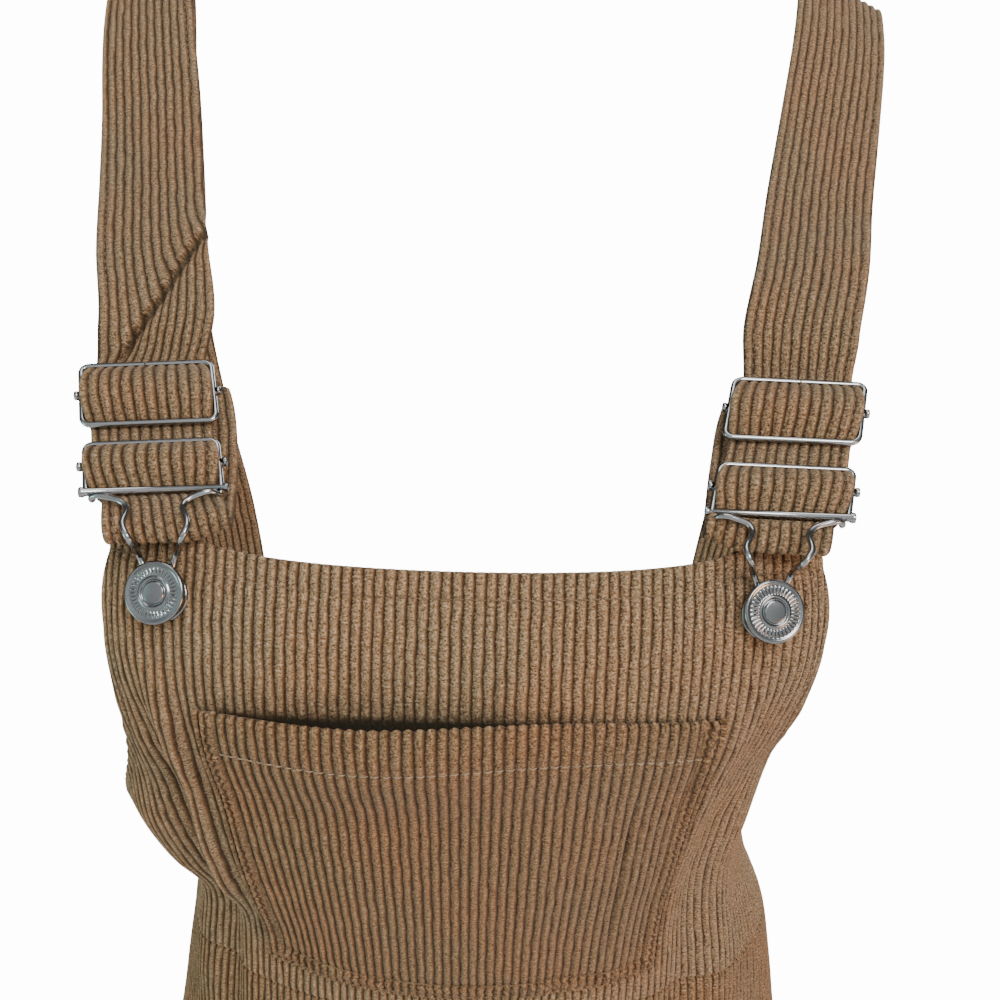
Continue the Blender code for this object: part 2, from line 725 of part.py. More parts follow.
def hook_half(side, hand):
    """Points of one half of the hook, from the rod to the foot of the button's stem."""
    plane = BucklePlane(side)
    rod_down = BUCKLE_ROD_AT + side.buckle
    spot, across, down, out = button_frame(side)
    height = SEAM_GAP + BASE_THICK + SEAM_GAP + HOOK_WIRE
    under = BUCKLE_ROD + PASS_GAP + HOOK_WIRE
    loop_end = max(side.foot - rod_down + 4.0, 18.5)
    shape = [
        (HOOK_SPREAD, under, 0.0),
        (18.2, under + 0.1, 1.2),
        (16.8, under + 0.4, 2.3),
        (12.6, 4.2, 2.5),
        (10.2, 5.2, 2.5),
        (8.6, 6.6, 2.5),
        (7.9, 8.3, 2.8),
        (8.4, 10.8, 3.6),
        (9.3, 14.0, 4.3),
        (9.1, 16.6, 4.6),
        (8.0, loop_end, 4.6),
    ]
    half = []
    for wide, low, rise in shape:
        shift = HOOK_SHIFT * np.clip((HOOK_SPREAD - wide) / 6, 0, 1)
        half.append(plane.at(hand * wide + shift, rod_down + low, rise))
    keeper = STEM_RADIUS + SEAM_GAP + HOOK_WIRE
    for wide, low in [(5.6, -10.4), (4.2, -7.4), (keeper + 0.15, -3.4)]:
        half.append(spot + hand * wide * across + low * down + height * out)
    for angle in (0, 30, 60, 90):
        turned_by = math.radians(angle)
        ring = keeper * (hand * math.cos(turned_by) * across + math.sin(turned_by) * down)
        half.append(spot + ring + height * out)
    return half


def hook(name, side, metal, parts):
    """The hook: one wire from the rod, round the button's stem and back to the rod."""
    path = hook_half(side, 1)[:-1] + hook_half(side, -1)[::-1]
    return wire(name, path, HOOK_WIRE, False, metal, parts)


def turned(name, profile, steps, side, shift, metal, collection):
    """A piece turned round the button's axis from radius and height pairs."""
    spot, across, down, out = button_frame(side)
    mesh = bpy.data.meshes.new(name)
    points = [(radius * MM, 0.0, height * MM) for radius, height in profile]
    mesh.from_pydata(points, [(i, i + 1) for i in range(len(points) - 1)], [])
    thing = add_object(name, mesh, metal, collection)
    screw = thing.modifiers.new("turned", "SCREW")
    screw.axis = "Z"
    screw.steps = steps
    screw.render_steps = steps
    screw.use_merge_vertices = True
    screw.merge_threshold = 0.00001
    screw.use_smooth_shade = True
    place = (spot - SHOULDER + shift[0] * across + shift[1] * down) * MM
    forward = np.cross(out, across)
    columns = np.array([across, forward, out]).T
    matrix = np.eye(4)
    matrix[:3, :3] = columns
    matrix[:3, 3] = place
    thing.matrix_world = Matrix(matrix.tolist())
    return thing


def button(name, side, metal, parts):
    """The button's cap on its stem: rim, bare dish, ring and a raised middle."""
    low = SEAM_GAP + BASE_THICK + SEAM_GAP
    cap = low + 2 * HOOK_WIRE + SEAM_GAP
    profile = [
        (0.0, cap + 2.5),
        (2.8, cap + 2.4),
        (3.1, cap + 1.6),
        (3.7, cap + 1.6),
        (4.2, cap + 2.2),
        (7.6, cap + 1.7),
        (8.6, cap + 2.0),
        (BUTTON_RADIUS, cap + 1.2),
        (BUTTON_RADIUS - 0.3, cap + 0.3),
        (BUTTON_RADIUS - 1.6, cap),
        (STEM_RADIUS, cap),
        (STEM_RADIUS, low),
        (0.0, low),
    ]
    return turned(name, profile, 18, side, (0, 0), metal, parts)


def button_base(name, side, metal, parts):
    """The washer under the cap, a little off its centre."""
    profile = [
        (0.0, SEAM_GAP + BASE_THICK),
        (BASE_RADIUS - 0.5, SEAM_GAP + BASE_THICK),
        (BASE_RADIUS, SEAM_GAP + BASE_THICK * 0.5),
        (BASE_RADIUS - 0.3, SEAM_GAP),
        (0.0, SEAM_GAP),
    ]
    shift = (BASE_SHIFT * side.sign, BASE_SHIFT)
    return turned(name, profile, 16, side, shift, metal, parts)


# build
def make_material(name, colour, roughness, metallic):
    """A plain Principled material."""
    material = bpy.data.materials.new(name)
    material.use_nodes = True
    shader = material.node_tree.nodes["Principled BSDF"]
    shader.inputs["Base Color"].default_value = (*colour, 1)
    shader.inputs["Roughness"].default_value = roughness
    shader.inputs["Metallic"].default_value = metallic
    return material


def main():
    for thing in list(bpy.data.objects):
        bpy.data.objects.remove(thing)
    parts = bpy.data.collections.new("overall_skirt")
    cutters = bpy.data.collections.new("cutters")
    bpy.context.scene.collection.children.link(parts)
    bpy.context.scene.collection.children.link(cutters)

    tan = (0.30, 0.205, 0.125)
    cloths = [
        ("bib_front", bib("bib_front", "front", front_top, PANEL_ROWS, 5, True)),
        ("bib_back", bib("bib_back", "back", back_top, BACK_ROWS, 4, False)),
        ("skirt_front", skirt("skirt_front", "front", 10, 29)),
        ("skirt_back", skirt("skirt_back", "back", 10, 29)),
        ("bib_pocket", pocket("bib_pocket", PANEL_ROWS[POCKET_FIRST_ROW:POCKET_LAST_ROW + 1])),
    ]
    for side in SIDES:
        cloths.append((f"strap_{side.name}", strap(f"strap_{side.name}", side)))
    for name, mesh in cloths:
        add_object(name, mesh, make_material("corduroy_" + name, tan, 0.85, 0.0), parts)

    for side in SIDES:
        for kind, maker in (("slider", slider), ("buckle", buckle)):
            name = f"{kind}_{side.name}"
            metal = make_material("nickel_" + name, (0.52, 0.50, 0.48), 0.22, 1.0)
            maker(name, side, metal, parts, cutters)
        for kind, maker in (("hook", hook), ("button", button), ("button_base", button_base)):
            name = f"{kind}_{side.name}"
            metal = make_material("nickel_" + name, (0.52, 0.50, 0.48), 0.25, 1.0)
            maker(name, side, metal, parts)


main()
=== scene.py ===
# Dungaree skirt in wide-wale corduroy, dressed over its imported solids.
# Lengths are millimetres in the figure's frame until place() makes them metres.
# A spot on the cloth is a height and a girth: the distance from the centre line,
# measured along the cloth, positive towards +X. The front faces -Y.
import math

import bmesh
import bpy
import numpy as np
from mathutils import Matrix


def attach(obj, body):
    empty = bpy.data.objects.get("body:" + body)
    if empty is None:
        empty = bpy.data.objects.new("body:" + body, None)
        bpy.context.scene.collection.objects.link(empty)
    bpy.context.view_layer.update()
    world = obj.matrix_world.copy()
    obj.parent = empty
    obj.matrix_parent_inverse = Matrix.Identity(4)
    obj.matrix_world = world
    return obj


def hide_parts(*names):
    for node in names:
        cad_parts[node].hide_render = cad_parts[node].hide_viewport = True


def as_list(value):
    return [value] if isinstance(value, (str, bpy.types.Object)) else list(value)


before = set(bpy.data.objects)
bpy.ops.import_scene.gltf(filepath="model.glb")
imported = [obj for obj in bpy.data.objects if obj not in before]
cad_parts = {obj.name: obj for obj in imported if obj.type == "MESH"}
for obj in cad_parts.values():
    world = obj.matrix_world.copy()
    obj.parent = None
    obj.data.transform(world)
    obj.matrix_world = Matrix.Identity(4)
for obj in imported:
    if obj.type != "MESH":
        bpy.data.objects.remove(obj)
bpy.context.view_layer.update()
root = "root"

shoulder = np.array([0.0, 58.0, -12.0])  # where the straps cross the shoulders
wale = 3.175  # eight wales to the inch
waleRise = 0.35  # a ridge stands this far above the face, and a groove below it
clothWall = 2.0
seamGap = 0.3
passGap = 0.45  # between the strap and the wire that it passes


def place(points):
    return (np.asarray(points, float) - shoulder) * 0.001


# the figure that fills the garment

figure = {
    "names": ("height", "left", "right", "front", "back", "square"),
    "rows": [
        (-195, 144, 143, 131, 82, 3.1),
        (-225, 144, 143, 142, 86, 3.1),
        (-255, 141, 133, 142, 88, 2.8),
        (-285, 139, 119, 128, 88, 2.5),
        (-315, 135, 113, 114, 85, 2.35),
        (-335, 124, 110, 104, 82, 2.25),
        (-352, 110, 113, 96, 79, 2.2),
        (-374, 111, 122, 88, 77, 2.2),
        (-395, 114, 126, 86, 78, 2.2),
        (-430, 119, 131, 89, 81, 2.2),
        (-480, 133, 141, 98, 88, 2.2),
        (-560, 156, 160, 116, 102, 2.2),
        (-660, 178, 180, 134, 116, 2.1),
        (-820, 202, 204, 158, 138, 2.0),
    ],
}
sideEdges = {
    "names": ("height", "front", "back"),
    "rows": [
        (-195, 110, 128),
        (-225, 115, 132),
        (-255, 117, 136),
        (-275, 121, 139),
        (-295, 131, 145),
        (-315, 146, 153),
        (-330, 163, 164),
    ],
}
cut = {
    "armholeFoot": -342.0,
    "frontTop": -205.5,
    "frontTopRise": 6.3,
    "frontTopHalf": 80.0,
    "backTop": -270.0,
    "waist": -382.0,
    "waistRise": 9.0,
    "hem": -820.0,
    "gather": 0.91,
    "gatherFrom": -250.0,
}

# long soft folds: face, girth, height, girth and height of the foot, width, depth
mainFolds = [
    ("front", -90, -262, -84, -420, 6, 1.2),
    ("front", -100, -282, -92, -430, 9, -4.0),
    ("front", -120, -300, -108, -400, 12, 2.2),
    ("front", 97, -296, 80, -425, 10, -4.5),
    ("front", 112, -290, 98, -410, 12, 2.2),
    ("front", 40, -282, 30, -330, 11, 1.4),
    ("front", 12, -300, 8, -350, 9, -1.0),
    ("front", -103, -203, -101, -245, 12, 2.5),
    ("front", 103, -205, 101, -248, 12, 2.5),
    ("back", -62, -325, -70, -440, 12, -3.5),
    ("back", -14, -300, -20, -375, 12, 1.5),
    ("back", 66, -330, 74, -440, 12, -4.0),
]
# smaller creases that only the dressed cloth has
smallCreases = [
    ("front", -110, -238, -104, -300, 7, 0.9),
    ("front", -94, -244, -85, -342, 5, 3.0),
    ("front", -86, -256, -78, -345, 3.2, -1.6),
    ("front", -103, -258, -96, -335, 5, -2.4),
    ("front", 53, -284, 51, -346, 1.4, -1.5),
    ("front", -88, -250, -92, -300, 5, -0.8),
    ("front", 101, -236, 96, -290, 7, -0.9),
    ("front", 88, -240, 84, -300, 6, 0.8),
    ("front", 36, -300, 33, -372, 5, -1.3),
    ("front", 25, -286, 22, -330, 6, 0.9),
    ("front", -38, -292, -34, -360, 8, 0.8),
    ("front", -58, -300, -60, -372, 6, -0.7),
    ("front", 58, -306, 52, -372, 7, 0.9),
    ("front", -30, -212, -26, -246, 10, 0.5),
    ("front", 52, -212, 50, -246, 9, 0.5),
    ("back", -100, -300, -96, -372, 8, 1.2),
    ("back", 34, -300, 30, -372, 9, -1.2),
    ("back", 104, -300, 100, -372, 8, 1.2),
]
foldFade = 26.0
# flutes that open from the waist to the hem: face, girth, width, depth, start
flutes = [
    ("front", -176, 24, 9, -470),
    ("front", -118, 26, -11, -440),
    ("front", -62, 24, 8, -500),
    ("front", -8, 26, -7, -520),
    ("front", 50, 25, 9, -470),
    ("front", 110, 27, -12, -430),
    ("front", 172, 24, 9, -480),
    ("back", -170, 25, 8, -470),
    ("back", -108, 26, -11, -450),
    ("back", -45, 27, 9, -490),
    ("back", 20, 24, -8, -500),
    ("back", 82, 26, 10, -450),
    ("back", 142, 25, -9, -480),
]
fluteSpread = 0.35
seamCalm = 26.0


def ease(t):
    t = np.clip(t, 0, 1)
    return t * t * (3 - 2 * t)


def ripple(x, y, seed):
    # a smooth uneven value between about -1 and 1, the same on every run
    draw = np.random.RandomState(seed)
    total = 0
    for _ in range(7):
        angle, phase = draw.uniform(0, 2 * math.pi, 2)
        scale = draw.uniform(0.6, 1.7)
        total = total + np.sin((x * math.cos(angle) + y * math.sin(angle)) * scale + phase)
    return total / 4


def smoothThrough(at, values, fine):
    # values at the fine places, on a smooth curve through the given ones
    slope = np.gradient(values, at, axis=0)
    low = np.clip(np.searchsorted(at, fine) - 1, 0, len(at) - 2)
    gap = at[low + 1] - at[low]
    t = np.clip((fine - at[low]) / gap, 0, 1)
    gap, t = (part.reshape(part.shape + (1,) * (values.ndim - 1)) for part in (gap, t))
    return ((2 * t**3 - 3 * t**2 + 1) * values[low] + (t**3 - 2 * t**2 + t) * gap * slope[low]
            + (3 * t**2 - 2 * t**3) * values[low + 1] + (t**3 - t**2) * gap * slope[low + 1])


def readTable(table, name, heights):
    k = table["names"].index(name)
    rows = sorted(table["rows"])
    at, value = (np.array([row[c] for row in rows], float) for c in (0, k))
    return smoothThrough(at, value, heights)


def runUp(points):
    # how far along the line each point is
    return np.concatenate([[0], np.cumsum(np.linalg.norm(np.diff(points, axis=0), axis=-1))])


def quarterLine(face, height, side):
    # half of a level section, from the centre line to the side seam
    at = np.array([float(height)])
    wide = readTable(figure, side, at)[0]
    deep = readTable(figure, face, at)[0]
    power = 2 / readTable(figure, "square", at)[0]
    angle = math.pi / 2 * ease(np.linspace(0, 1, 241))
    across = wide * np.sin(angle) ** power
    out = deep * np.clip(np.cos(angle), 0, 1) ** power
    return across, out, runUp(np.stack([across, out], -1))


lookUp = {"heightStep": 2.0, "top": -188.0, "foot": -830.0, "reach": 340}


def measureFace(face):
    # points and outward directions of the bare figure on a fine grid
    heights = np.arange(lookUp["top"], lookUp["foot"], -lookUp["heightStep"])
    girths = np.arange(-lookUp["reach"], lookUp["reach"] + 1.0)
    points = np.empty((len(heights), len(girths), 3))
    seams = np.empty((len(heights), 2))
    forward = -1 if face == "front" else 1
    for i, height in enumerate(heights):
        for j, side in enumerate(("left", "right")):
            across, out, length = quarterLine(face, height, side)
            mine = girths > 0 if side == "right" else girths <= 0
            reach = np.abs(girths[mine])
            past = np.maximum(reach - length[-1], 0)
            points[i, mine, 0] = np.interp(reach, length, across) * (2 * j - 1)
            points[i, mine, 1] = forward * (np.interp(reach, length, out) - past)
            seams[i, j] = length[-1]
    points[..., 2] = heights[:, None]
    normals = np.cross(np.gradient(points, axis=1), -np.gradient(points, axis=0)) * -forward
    for _ in range(2):
        normals[:, 1:-1] = (normals[:, :-2] + 2 * normals[:, 1:-1] + normals[:, 2:]) / 4
    normals /= np.linalg.norm(normals, axis=-1, keepdims=True)
    return {"points": points, "normals": normals, "seams": seams}


faces = {"front": measureFace("front"), "back": measureFace("back")}
print("figure measured")


def readFace(face, heights, girths):
    # points and outward directions of the bare figure at any spots
    heights = np.broadcast_to(heights, girths.shape)
    i = np.clip((lookUp["top"] - heights) / lookUp["heightStep"], 0, None)
    j = np.clip(girths + lookUp["reach"], 0, 2 * lookUp["reach"] - 1e-6)
    count = len(faces[face]["points"])
    i = np.clip(i, 0, count - 1.001)
    low, left = i.astype(int), j.astype(int)
    down, along = (i - low)[..., None], (j - left)[..., None]
    found = []
    for key in ("points", "normals"):
        grid = faces[face][key]
        above = grid[low, left] * (1 - along) + grid[low, left + 1] * along
        below = grid[low + 1, left] * (1 - along) + grid[low + 1, left + 1] * along
        found.append(above * (1 - down) + below * down)
    return found


def seamGirth(face, heights, right):
    table = faces[face]["seams"][:, 1 if right else 0]
    at = lookUp["top"] - lookUp["heightStep"] * np.arange(len(table))
    return np.interp(-np.asarray(heights, float), -at, table)


def foldRise(face, heights, girths):
    rise = np.zeros(girths.shape)
    for side, girth, height, footGirth, footHeight, width, depth in mainFolds + smallCreases:
        if side != face:
            continue
        t = (height - heights) / (height - footHeight)
        centre = girth + t * (footGirth - girth)
        inside = np.minimum(height - heights, heights - footHeight)
        rise += depth * ease(inside / foldFade + 0.5) * np.exp(-(((girths - centre) / width) ** 2))
    for side, girth, width, depth, start in flutes:
        if side != face:
            continue
        grown = np.clip((start - heights) / (start - cut["hem"]), 0, 1)
        spread = 1 + fluteSpread * grown
        rise += depth * grown * np.exp(-(((girths / spread - girth) / width) ** 2))
    room = np.where(girths > 0, seamGirth(face, heights, True), seamGirth(face, heights, False))
    return rise * ease((room - np.abs(girths)) / seamCalm)


def clothPoints(face, heights, girths, rise):
    points, normals = readFace(face, heights, girths)
    return points + (foldRise(face, heights, girths) + rise)[..., None] * normals


# outlines of the panels


def gatherAt(heights):
    return 1 + (cut["gather"] - 1) * ease(
        (cut["gatherFrom"] - heights) / (cut["gatherFrom"] - cut["waist"]))


def sideEdge(face, heights, right):
    half = readTable(sideEdges, face, heights)
    last = sideEdges["rows"][-1]
    drop = np.clip((last[0] - heights) / (last[0] - cut["armholeFoot"]), 0, 1)
    seam = np.minimum(seamGirth(face, heights, True), seamGirth(face, heights, False))
    foot = last[sideEdges["names"].index(face)]
    swept = foot + (seam - foot) * (1 - np.sqrt(np.clip(1 - drop * drop, 0, 1)))
    half = np.where(heights < last[0], swept, half)
    own = seamGirth(face, heights, right)
    return np.where(heights < cut["armholeFoot"], own, np.minimum(half, own))


def waistHeight(girths):
    half = seamGirth("front", [cut["waist"]], True)[0]
    t = np.clip(np.abs(girths) / half, 0, 1)
    return cut["waist"] + cut["waistRise"] * t * t


def frontTop(girths):
    t = np.clip(np.abs(girths) / cut["frontTopHalf"], 0, 1)
    return cut["frontTop"] + cut["frontTopRise"] * (1 - np.sqrt(1 - t * t))


def backTop(girths):
    return np.full(np.shape(girths), cut["backTop"])


def hemHeight(girths):
    return np.full(np.shape(girths), cut["hem"])


# cloth meshes


def waleProfile(phase, plump):
    # 0 in the groove and 1 on the ridge
    return np.abs(np.sin(math.pi * phase)) ** plump


def newObject(name, data):
    thing = bpy.data.objects.new(name, data)
    bpy.context.scene.collection.objects.link(thing)
    return thing


def meshFrom(shape, name):
    mesh = bpy.data.meshes.new(name)
    shape.to_mesh(mesh)
    shape.free()
    return mesh


def meshObject(name, points, faceList, grain, material):
    mesh = bpy.data.meshes.new(name)
    mesh.from_pydata(place(points).tolist(), [], faceList)
    if grain is not None:
        layer = mesh.attributes.new("grain", "FLOAT_VECTOR", "POINT")
        layer.data.foreach_set("vector", np.asarray(grain, np.float32).ravel())
    shape = bmesh.new()
    shape.from_mesh(mesh)
    bmesh.ops.remove_doubles(shape, verts=shape.verts, dist=0.000004)
    bmesh.ops.recalc_face_normals(shape, faces=shape.faces)
    shape.to_mesh(mesh)
    shape.free()
    mesh.shade_smooth()
    mesh.materials.append(material)
    return newObject(name, mesh)


def kept(count, step, ends):
    # every step-th index, with the first and last few all kept
    middle = list(range(ends, count - ends, step))
    return sorted(set([0] + middle + [count - 1 - ends, count - 1]))


def quadsOf(grid):
    quads = np.stack([grid[:-1, :-1], grid[:-1, 1:], grid[1:, 1:], grid[1:, :-1]], -1)
    return quads.reshape(-1, 4)


def closeWall(name, outer, inner, rowsKept, columnsKept, grain, innerGrain, material):
    # joins a fine outer grid and a coarse inner one into one closed wall
    rows, columns = outer.shape[:2]
    front = np.arange(rows * columns).reshape(rows, columns)
    back = np.arange(inner.shape[0] * inner.shape[1]).reshape(inner.shape[:2]) + front.size
    faceList = quadsOf(front).tolist() + quadsOf(back)[:, ::-1].tolist()
    for edge in (0, -1):
        for fine, coarse, spots in ((front, back, columnsKept), (front.T, back.T, rowsKept)):
            for j, (a, b) in enumerate(zip(spots, spots[1:])):
                faceList.append(fine[edge, a:b + 1].tolist() + coarse[edge, [j + 1, j]].tolist())
    points = np.concatenate([outer.reshape(-1, 3), inner.reshape(-1, 3)])
    grains = np.concatenate([grain.reshape(-1, 3), innerGrain.reshape(-1, 3)])
    return meshObject(name, points, faceList, grains, material)


rollAngles = np.radians([28, 55, 82])  # how an edge turns in


def panel(piece, material):
    # a panel whose columns follow the wales and stop at its outline
    face, roll, wall = piece["face"], piece["roll"], piece["wall"]
    perWale = piece["columnsPerWale"]
    wales = int(piece["wales"] * perWale)
    u = np.arange(-wales, wales + 1) / perWale
    levels = np.asarray(piece["levels"])[:, None]
    heights = np.full((len(levels), len(u)), cut["waist"])
    for _ in range(4):
        sway = piece["sway"] * ripple(u[None, :] / 7, heights / 34, piece["seed"])
        girths = (u[None, :] + sway) * wale * gatherAt(heights)
        right = piece["edge"](face, heights, True) - roll
        left = -(piece["edge"](face, heights, False) - roll)
        girths = np.clip(girths, left, right)
        top = piece["top"](girths) - roll
        foot = piece["foot"](girths) + roll
        heights = top + (foot - top) * levels
    # columns past the outline all lie on its last point, so they merge into it
    for past, last in ((girths >= right - 0.01, -1), (girths <= left + 0.01, 0)):
        heights = np.where(past, heights[:, [last]], heights)
        girths = np.where(past, girths[:, [last]], girths)
    sway = np.where(np.abs(girths) < np.minimum(right, -left) - 0.02, sway, 0)
    phase = girths / (wale * gatherAt(heights)) - sway + piece["kink"](heights, girths)
    # extra rows and columns carry the cloth round its edges
    reach, sink = roll * np.sin(rollAngles), roll * (1 - np.cos(rollAngles))
    rows, columns = heights.shape

    def rolled(first, count, last):
        return np.concatenate([first[::-1], np.zeros(count), last])

    heights, girths, phase = (
        np.pad(block, len(rollAngles), "edge") for block in (heights, girths, phase))
    heights = heights + rolled(reach, rows, -reach)[:, None]
    girths = girths + rolled(-reach, columns, reach)
    drop = np.maximum(rolled(sink, rows, sink)[:, None], rolled(sink, columns, sink))

    base = piece["base"](heights, girths)
    plump = waleProfile(phase, 0.9)
    rise = base + waleRise * piece["relief"] * (2 * plump - 1.1) - drop
    for line in piece["lines"]:
        rise = rise - line(heights, girths, plump)
    outer = clothPoints(face, heights, girths, rise)
    # the third value is 1 on the inner face, and below 0 where a shadow is painted
    grain = np.stack([phase, -heights / wale, -piece["shadowMask"](heights, girths)], -1)
    rowsKept = kept(outer.shape[0], piece["innerRows"], 3)
    columnsKept = kept(outer.shape[1], perWale, 3)
    pick = np.ix_(rowsKept, columnsKept)
    inner = clothPoints(face, heights[pick], girths[pick], base[pick] - wall)
    innerGrain = grain[pick].copy()
    innerGrain[..., 2] = 1
    thing = closeWall(piece["name"], outer, inner, rowsKept, columnsKept, grain, innerGrain,
                      material)
    cutPoints = girths / gatherAt(heights)
    wide = float(cutPoints.max() - cutPoints.min())
    run = np.linalg.norm(np.diff(readFace(face, heights, girths)[0], axis=0), axis=-1)
    middle = (cutPoints[1:, 1:] - cutPoints[1:, :-1]) * (run[:, 1:] + run[:, :-1]) / 2
    piece["flat"] = (wide * 0.001, float(run.sum(axis=0).max()) * 0.001)
    piece["area"] = min(float(middle.sum()) * 1e-6, piece["flat"][0] * piece["flat"][1])
    return thing


def zeroAt(heights, girths):
    return np.zeros_like(heights)


def groove(distance, depth, width):
    return depth * np.exp(-((distance / width) ** 2))


def acrossStitch(edge, down, depth=0.42):
    # the dip that a row of topstitching along an edge leaves, deepest on the ridges
    return lambda heights, girths, plump: (
        groove(edge(girths) - down - heights, depth, 0.9) * (0.35 + 0.65 * plump))


def besideStitch(face, edge, inside, depth=0.4):
    def line(heights, girths, plump):
        reach = np.where(girths > 0, edge(face, heights, True), edge(face, heights, False))
        return groove(reach - inside - np.abs(girths), depth, 0.9) * (0.35 + 0.65 * plump)
    return line


# materials


def nodeMaterial(name):
    material = bpy.data.materials.new(name)
    material.use_nodes = True
    return material, material.node_tree, material.node_tree.nodes["Principled BSDF"]


def addNode(tree, kind, inputs=(), **settings):
    node = tree.nodes.new(kind)
    for key, value in settings.items():
        setattr(node, key, value)
    for socket, value in dict(inputs).items():
        if isinstance(value, bpy.types.NodeSocket):
            tree.links.new(value, node.inputs[socket])
        else:
            node.inputs[socket].default_value = value
    return node


def ramp(tree, source, stops, smooth="EASE"):
    node = addNode(tree, "ShaderNodeValToRGB", {"Fac": source})
    node.color_ramp.interpolation = smooth
    while len(node.color_ramp.elements) < len(stops):
        node.color_ramp.elements.new(0.5)
    for element, (at, value) in zip(node.color_ramp.elements, stops):
        element.position = at
        element.color = (*value, 1) if hasattr(value, "__len__") else (value, value, value, 1)
    return node.outputs["Color"]


def maths(tree, operation, *values):
    node = addNode(tree, "ShaderNodeMath", dict(enumerate(values)), operation=operation)
    return node.outputs[0]


def pileNoise(tree, grain, scale, detail, rough=0.5):
    # noise stretched across and along the wales
    where = addNode(tree, "ShaderNodeMapping", {"Vector": grain, "Scale": (*scale, 1.0)})
    noise = addNode(tree, "ShaderNodeTexNoise", {
        "Vector": where.outputs[0], "Scale": 1.0, "Detail": detail, "Roughness": rough})
    return noise.outputs["Fac"]


def makePileGroup():
    # the masks and the height of the corduroy's pile, from the grain attribute
    tree = bpy.data.node_groups.new("corduroyPile", "ShaderNodeTree")
    tree.interface.new_socket("Grain", in_out="INPUT", socket_type="NodeSocketVector")
    grain = tree.nodes.new("NodeGroupInput").outputs["Grain"]
    split = addNode(tree, "ShaderNodeSeparateXYZ", {"Vector": grain})
    fleck = pileNoise(tree, grain, (4.8, 5.4), 3.0, 0.8)
    waver = pileNoise(tree, grain, (0.9, 0.45), 0.0)
    clump = pileNoise(tree, grain, (1.6, 3.4), 2.0, 0.6)
    patch = pileNoise(tree, grain, (0.085, 0.075), 3.0, 0.55)
    fuzzy = maths(tree, "MULTIPLY_ADD", fleck, 0.60, split.outputs["X"])
    bent = maths(tree, "MULTIPLY_ADD", waver, 0.30, fuzzy)
    turn = maths(tree, "MULTIPLY", maths(tree, "SUBTRACT", bent, 0.45), math.pi)
    ridge = maths(tree, "POWER", maths(tree, "ABSOLUTE", maths(tree, "SINE", turn)), 0.9)
    # painted light: the light colour sits off the ridge's middle, so one side of each wale looks
    # lit and the other shaded
    litCrest = maths(tree, "ABSOLUTE", maths(tree, "SINE", maths(tree, "ADD", turn, 0.18)))
    tufted = maths(tree, "MULTIPLY_ADD", clump, 0.25, maths(tree, "MULTIPLY", ridge, 0.55))
    masks = {
        "Ridge": ridge,
        "LitCrest": litCrest,
        "Fleck": maths(tree, "MULTIPLY_ADD", fleck, 0.75, maths(tree, "MULTIPLY", clump, 0.25)),
        "Patch": patch,
        # 1 on the cloth's inner face, and below 0 where a shadow is painted
        "Inside": split.outputs["Z"],
        "Height": maths(tree, "MULTIPLY_ADD", fleck, 0.62, tufted),
    }
    end = tree.nodes.new("NodeGroupOutput")
    for name, socket in masks.items():
        tree.interface.new_socket(name, in_out="OUTPUT", socket_type="NodeSocketFloat")
        tree.links.new(socket, end.inputs[name])
    return tree


cordColours = {
    # painted shade for the wales' grooves and flanks, on the next two lines
    "groove": (0.046, 0.024, 0.009),
    "shadedFlank": (0.150, 0.092, 0.046),
    "speck": (0.070, 0.039, 0.017),
    "ridgeDark": (0.200, 0.126, 0.068),
    "ridgeLight": (0.455, 0.315, 0.190),
    "fibre": (0.740, 0.560, 0.375),
    # painted shadow, for the bib behind the pocket and the foot of the strap's crease
    "paintedShadow": (0.030, 0.024, 0.013),
    "cool": (0.96, 0.99, 0.97),
    "warm": (1.07, 0.97, 0.91),
    "inside": (0.300, 0.205, 0.125),
}


def mixed(tree, factor, first, second, blend="MIX"):
    # colour sockets of a Mix node share their names, so they are found by place
    node = addNode(tree, "ShaderNodeMix", data_type="RGBA", blend_type=blend)
    for at, value in ((0, factor), (6, first), (7, second)):
        if isinstance(value, bpy.types.NodeSocket):
            tree.links.new(value, node.inputs[at])
        else:
            node.inputs[at].default_value = value
    return node.outputs[2]


